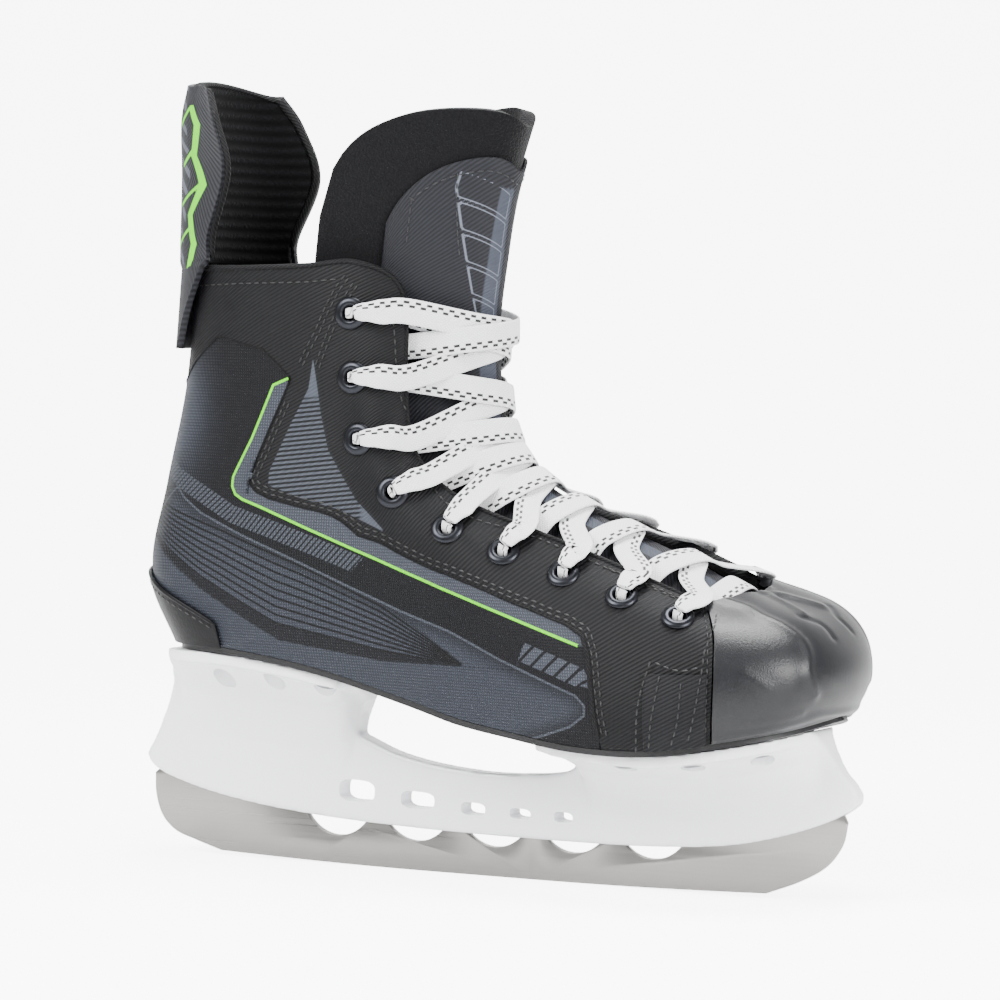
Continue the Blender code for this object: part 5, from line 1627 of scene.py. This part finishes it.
def colour_of(name, text, code):
    return bpy.props.FloatVectorProperty(name=name, description=text, subtype="COLOR", size=3, min=0, max=1,
                                         default=linear(code))


def length_of(name, text, size):
    return bpy.props.FloatProperty(name=name, description=text, subtype="DISTANCE", unit="LENGTH", min=0,
                                   precision=5, default=size * MM)


class SkateColours(bpy.types.PropertyGroup):
    """Colours of the skate's cloths, plastics, metals and prints."""

    lime: colour_of("Lime", "Bright printed line", "#5cc400")
    ink: colour_of("Print grey", "Printed grey shapes", "#3f434b")
    # Also the colour that the painted highlight on the side panel's ankle lightens towards.
    steel: colour_of("Panel grey", "Grey of the printed side panel", "#363a43")
    # The twill's colour in its grooves, as painted shade, and on its ribs.
    twill_dark: colour_of("Twill groove", "Dark of the coated twill", "#030304")
    twill_light: colour_of("Twill rib", "Light of the coated twill", "#161618")
    cap: colour_of("Toe cap", "Moulded toe cap", "#0a0b0f")
    felt: colour_of("Felt", "Pressed felt of the tongue", "#0f0f11")
    tongue: colour_of("Tongue", "Cloth over the tongue", "#1c1d23")
    lace: colour_of("Lace", "Cotton lace", "#f2f2f4")
    white: colour_of("Holder", "Blade holder plastic", "#f3f4f7")
    black: colour_of("Outsole", "Moulded sole", "#0c0c0e")
    runner: colour_of("Runner", "Ground stainless steel", "#989693")
    eyelet: colour_of("Eyelet", "Dark nickel plate", "#2e2f33")


class SkateSizes(bpy.types.PropertyGroup):
    """Sizes that can change without moving the frame."""

    lace_width: length_of("Lace width", "Across the flat lace", 9.5)
    lace_thickness: length_of("Lace thickness", "Through the flat lace", 1.1)
    stitch_length: length_of("Stitch length", "Thread that shows between two needle holes", 2.3)
    stitch_pitch: length_of("Stitch pitch", "From one stitch to the next", 3.5)
    thread_thickness: length_of("Thread thickness", "Across the sewing thread", 0.62)


class SKATE_OT_finishes(bpy.types.Operator):
    """Make the finishes that several pieces share"""

    bl_idname = "skate.finishes"
    bl_label = "Shared finishes"

    def execute(self, context):
        shared_finishes()
        return {"FINISHED"}


class SKATE_OT_side_panels(bpy.types.Operator):
    """Make the printed nylon side panels"""

    bl_idname = "skate.side_panels"
    bl_label = "Side panels"

    def execute(self, context):
        side_panels()
        return {"FINISHED"}


class SKATE_OT_twill_quarters(bpy.types.Operator):
    """Make the coated twill above the side panels"""

    bl_idname = "skate.twill_quarters"
    bl_label = "Twill quarters"

    def execute(self, context):
        twill_quarters()
        return {"FINISHED"}


class SKATE_OT_linings(bpy.types.Operator):
    """Make the padded knit linings"""

    bl_idname = "skate.linings"
    bl_label = "Linings"

    def execute(self, context):
        linings()
        return {"FINISHED"}


class SKATE_OT_collar_binding(bpy.types.Operator):
    """Roll the twill binding over the top edge"""

    bl_idname = "skate.collar_binding"
    bl_label = "Collar binding"

    def execute(self, context):
        collar_binding()
        return {"FINISHED"}


class SKATE_OT_piped_edges(bpy.types.Operator):
    """Lay the piping along the panel seams"""

    bl_idname = "skate.piped_edges"
    bl_label = "Seam piping"

    def execute(self, context):
        piped_edges()
        return {"FINISHED"}


class SKATE_OT_toe_cap(bpy.types.Operator):
    """Mould the toe cap with its ridges"""

    bl_idname = "skate.toe_cap"
    bl_label = "Toe cap"

    def execute(self, context):
        toe_cap()
        return {"FINISHED"}


class SKATE_OT_patches(bpy.types.Operator):
    """Make the strap patches and the heel patch"""

    bl_idname = "skate.patches"
    bl_label = "Patches"

    def execute(self, context):
        patches()
        return {"FINISHED"}


class SKATE_OT_tongue(bpy.types.Operator):
    """Make the felt tongue and its printed face"""

    bl_idname = "skate.tongue"
    bl_label = "Tongue"

    def execute(self, context):
        tongue_pieces()
        return {"FINISHED"}


class SKATE_OT_tendon_guard(bpy.types.Operator):
    """Make the tendon guard, its lining and its binding"""

    bl_idname = "skate.tendon_guard"
    bl_label = "Tendon guard"

    def execute(self, context):
        tendon_guard()
        return {"FINISHED"}


class SKATE_OT_stitching(bpy.types.Operator):
    """Sew every stitched row of the boot"""

    bl_idname = "skate.stitching"
    bl_label = "Stitching"

    def execute(self, context):
        stitching()
        return {"FINISHED"}


class SKATE_OT_eyelets(bpy.types.Operator):
    """Set the eighteen eyelets"""

    bl_idname = "skate.eyelets"
    bl_label = "Eyelets"

    def execute(self, context):
        eyelets()
        return {"FINISHED"}


class SKATE_OT_lace(bpy.types.Operator):
    """Thread the flat lace"""

    bl_idname = "skate.lace"
    bl_label = "Lace"

    def execute(self, context):
        lace()
        return {"FINISHED"}


class SKATE_OT_soles(bpy.types.Operator):
    """Make the outsole and the footbed"""

    bl_idname = "skate.soles"
    bl_label = "Soles"

    def execute(self, context):
        soles()
        return {"FINISHED"}


class SKATE_OT_holder(bpy.types.Operator):
    """Mould the blade holder"""

    bl_idname = "skate.holder"
    bl_label = "Blade holder"

    def execute(self, context):
        holder()
        return {"FINISHED"}


class SKATE_OT_rivets(bpy.types.Operator):
    """Set the holder's twelve rivets"""

    bl_idname = "skate.rivets"
    bl_label = "Rivets"

    def execute(self, context):
        rivets()
        return {"FINISHED"}


class SKATE_OT_runner(bpy.types.Operator):
    """Grind the steel runner"""

    bl_idname = "skate.runner"
    bl_label = "Runner"

    def execute(self, context):
        runner()
        return {"FINISHED"}


class SKATE_OT_carried_nodes(bpy.types.Operator):
    """Finish the hidden pieces that keep their frame shape"""

    bl_idname = "skate.carried_nodes"
    bl_label = "Hidden pieces"

    def execute(self, context):
        carried_nodes()
        return {"FINISHED"}


class SKATE_OT_stage(bpy.types.Operator):
    """Set the floor, lights and camera"""

    bl_idname = "skate.stage"
    bl_label = "Stage"

    def execute(self, context):
        stage()
        return {"FINISHED"}


OPERATORS = (
    SKATE_OT_finishes,
    SKATE_OT_side_panels,
    SKATE_OT_twill_quarters,
    SKATE_OT_linings,
    SKATE_OT_collar_binding,
    SKATE_OT_piped_edges,
    SKATE_OT_toe_cap,
    SKATE_OT_patches,
    SKATE_OT_tongue,
    SKATE_OT_tendon_guard,
    SKATE_OT_stitching,
    SKATE_OT_eyelets,
    SKATE_OT_lace,
    SKATE_OT_soles,
    SKATE_OT_holder,
    SKATE_OT_rivets,
    SKATE_OT_runner,
    SKATE_OT_carried_nodes,
    SKATE_OT_stage,
)


class SKATE_PT_panel(bpy.types.Panel):
    """Buttons for each piece, in building order."""

    bl_label = "Hockey skate"
    bl_idname = "SKATE_PT_panel"
    bl_space_type = "VIEW_3D"
    bl_region_type = "UI"
    bl_category = "Skate"

    def draw(self, context):
        for operator in OPERATORS:
            self.layout.operator(operator.bl_idname)
        for group, values in ((SkateColours, context.scene.skate_colours), (SkateSizes, context.scene.skate_sizes)):
            for name in group.__annotations__:
                self.layout.prop(values, name)


CLASSES = (SkateColours, SkateSizes, *OPERATORS, SKATE_PT_panel)


def register():
    for cls in CLASSES:
        bpy.utils.register_class(cls)
    bpy.types.Scene.skate_colours = bpy.props.PointerProperty(type=SkateColours)
    bpy.types.Scene.skate_sizes = bpy.props.PointerProperty(type=SkateSizes)


def unregister():
    del bpy.types.Scene.skate_sizes
    del bpy.types.Scene.skate_colours
    for cls in reversed(CLASSES):
        bpy.utils.unregister_class(cls)


def main():
    register()
    for operator in OPERATORS:
        name = operator.bl_idname.split(".")[1]
        getattr(bpy.ops.skate, name)()


if __name__ == "__main__":
    main()
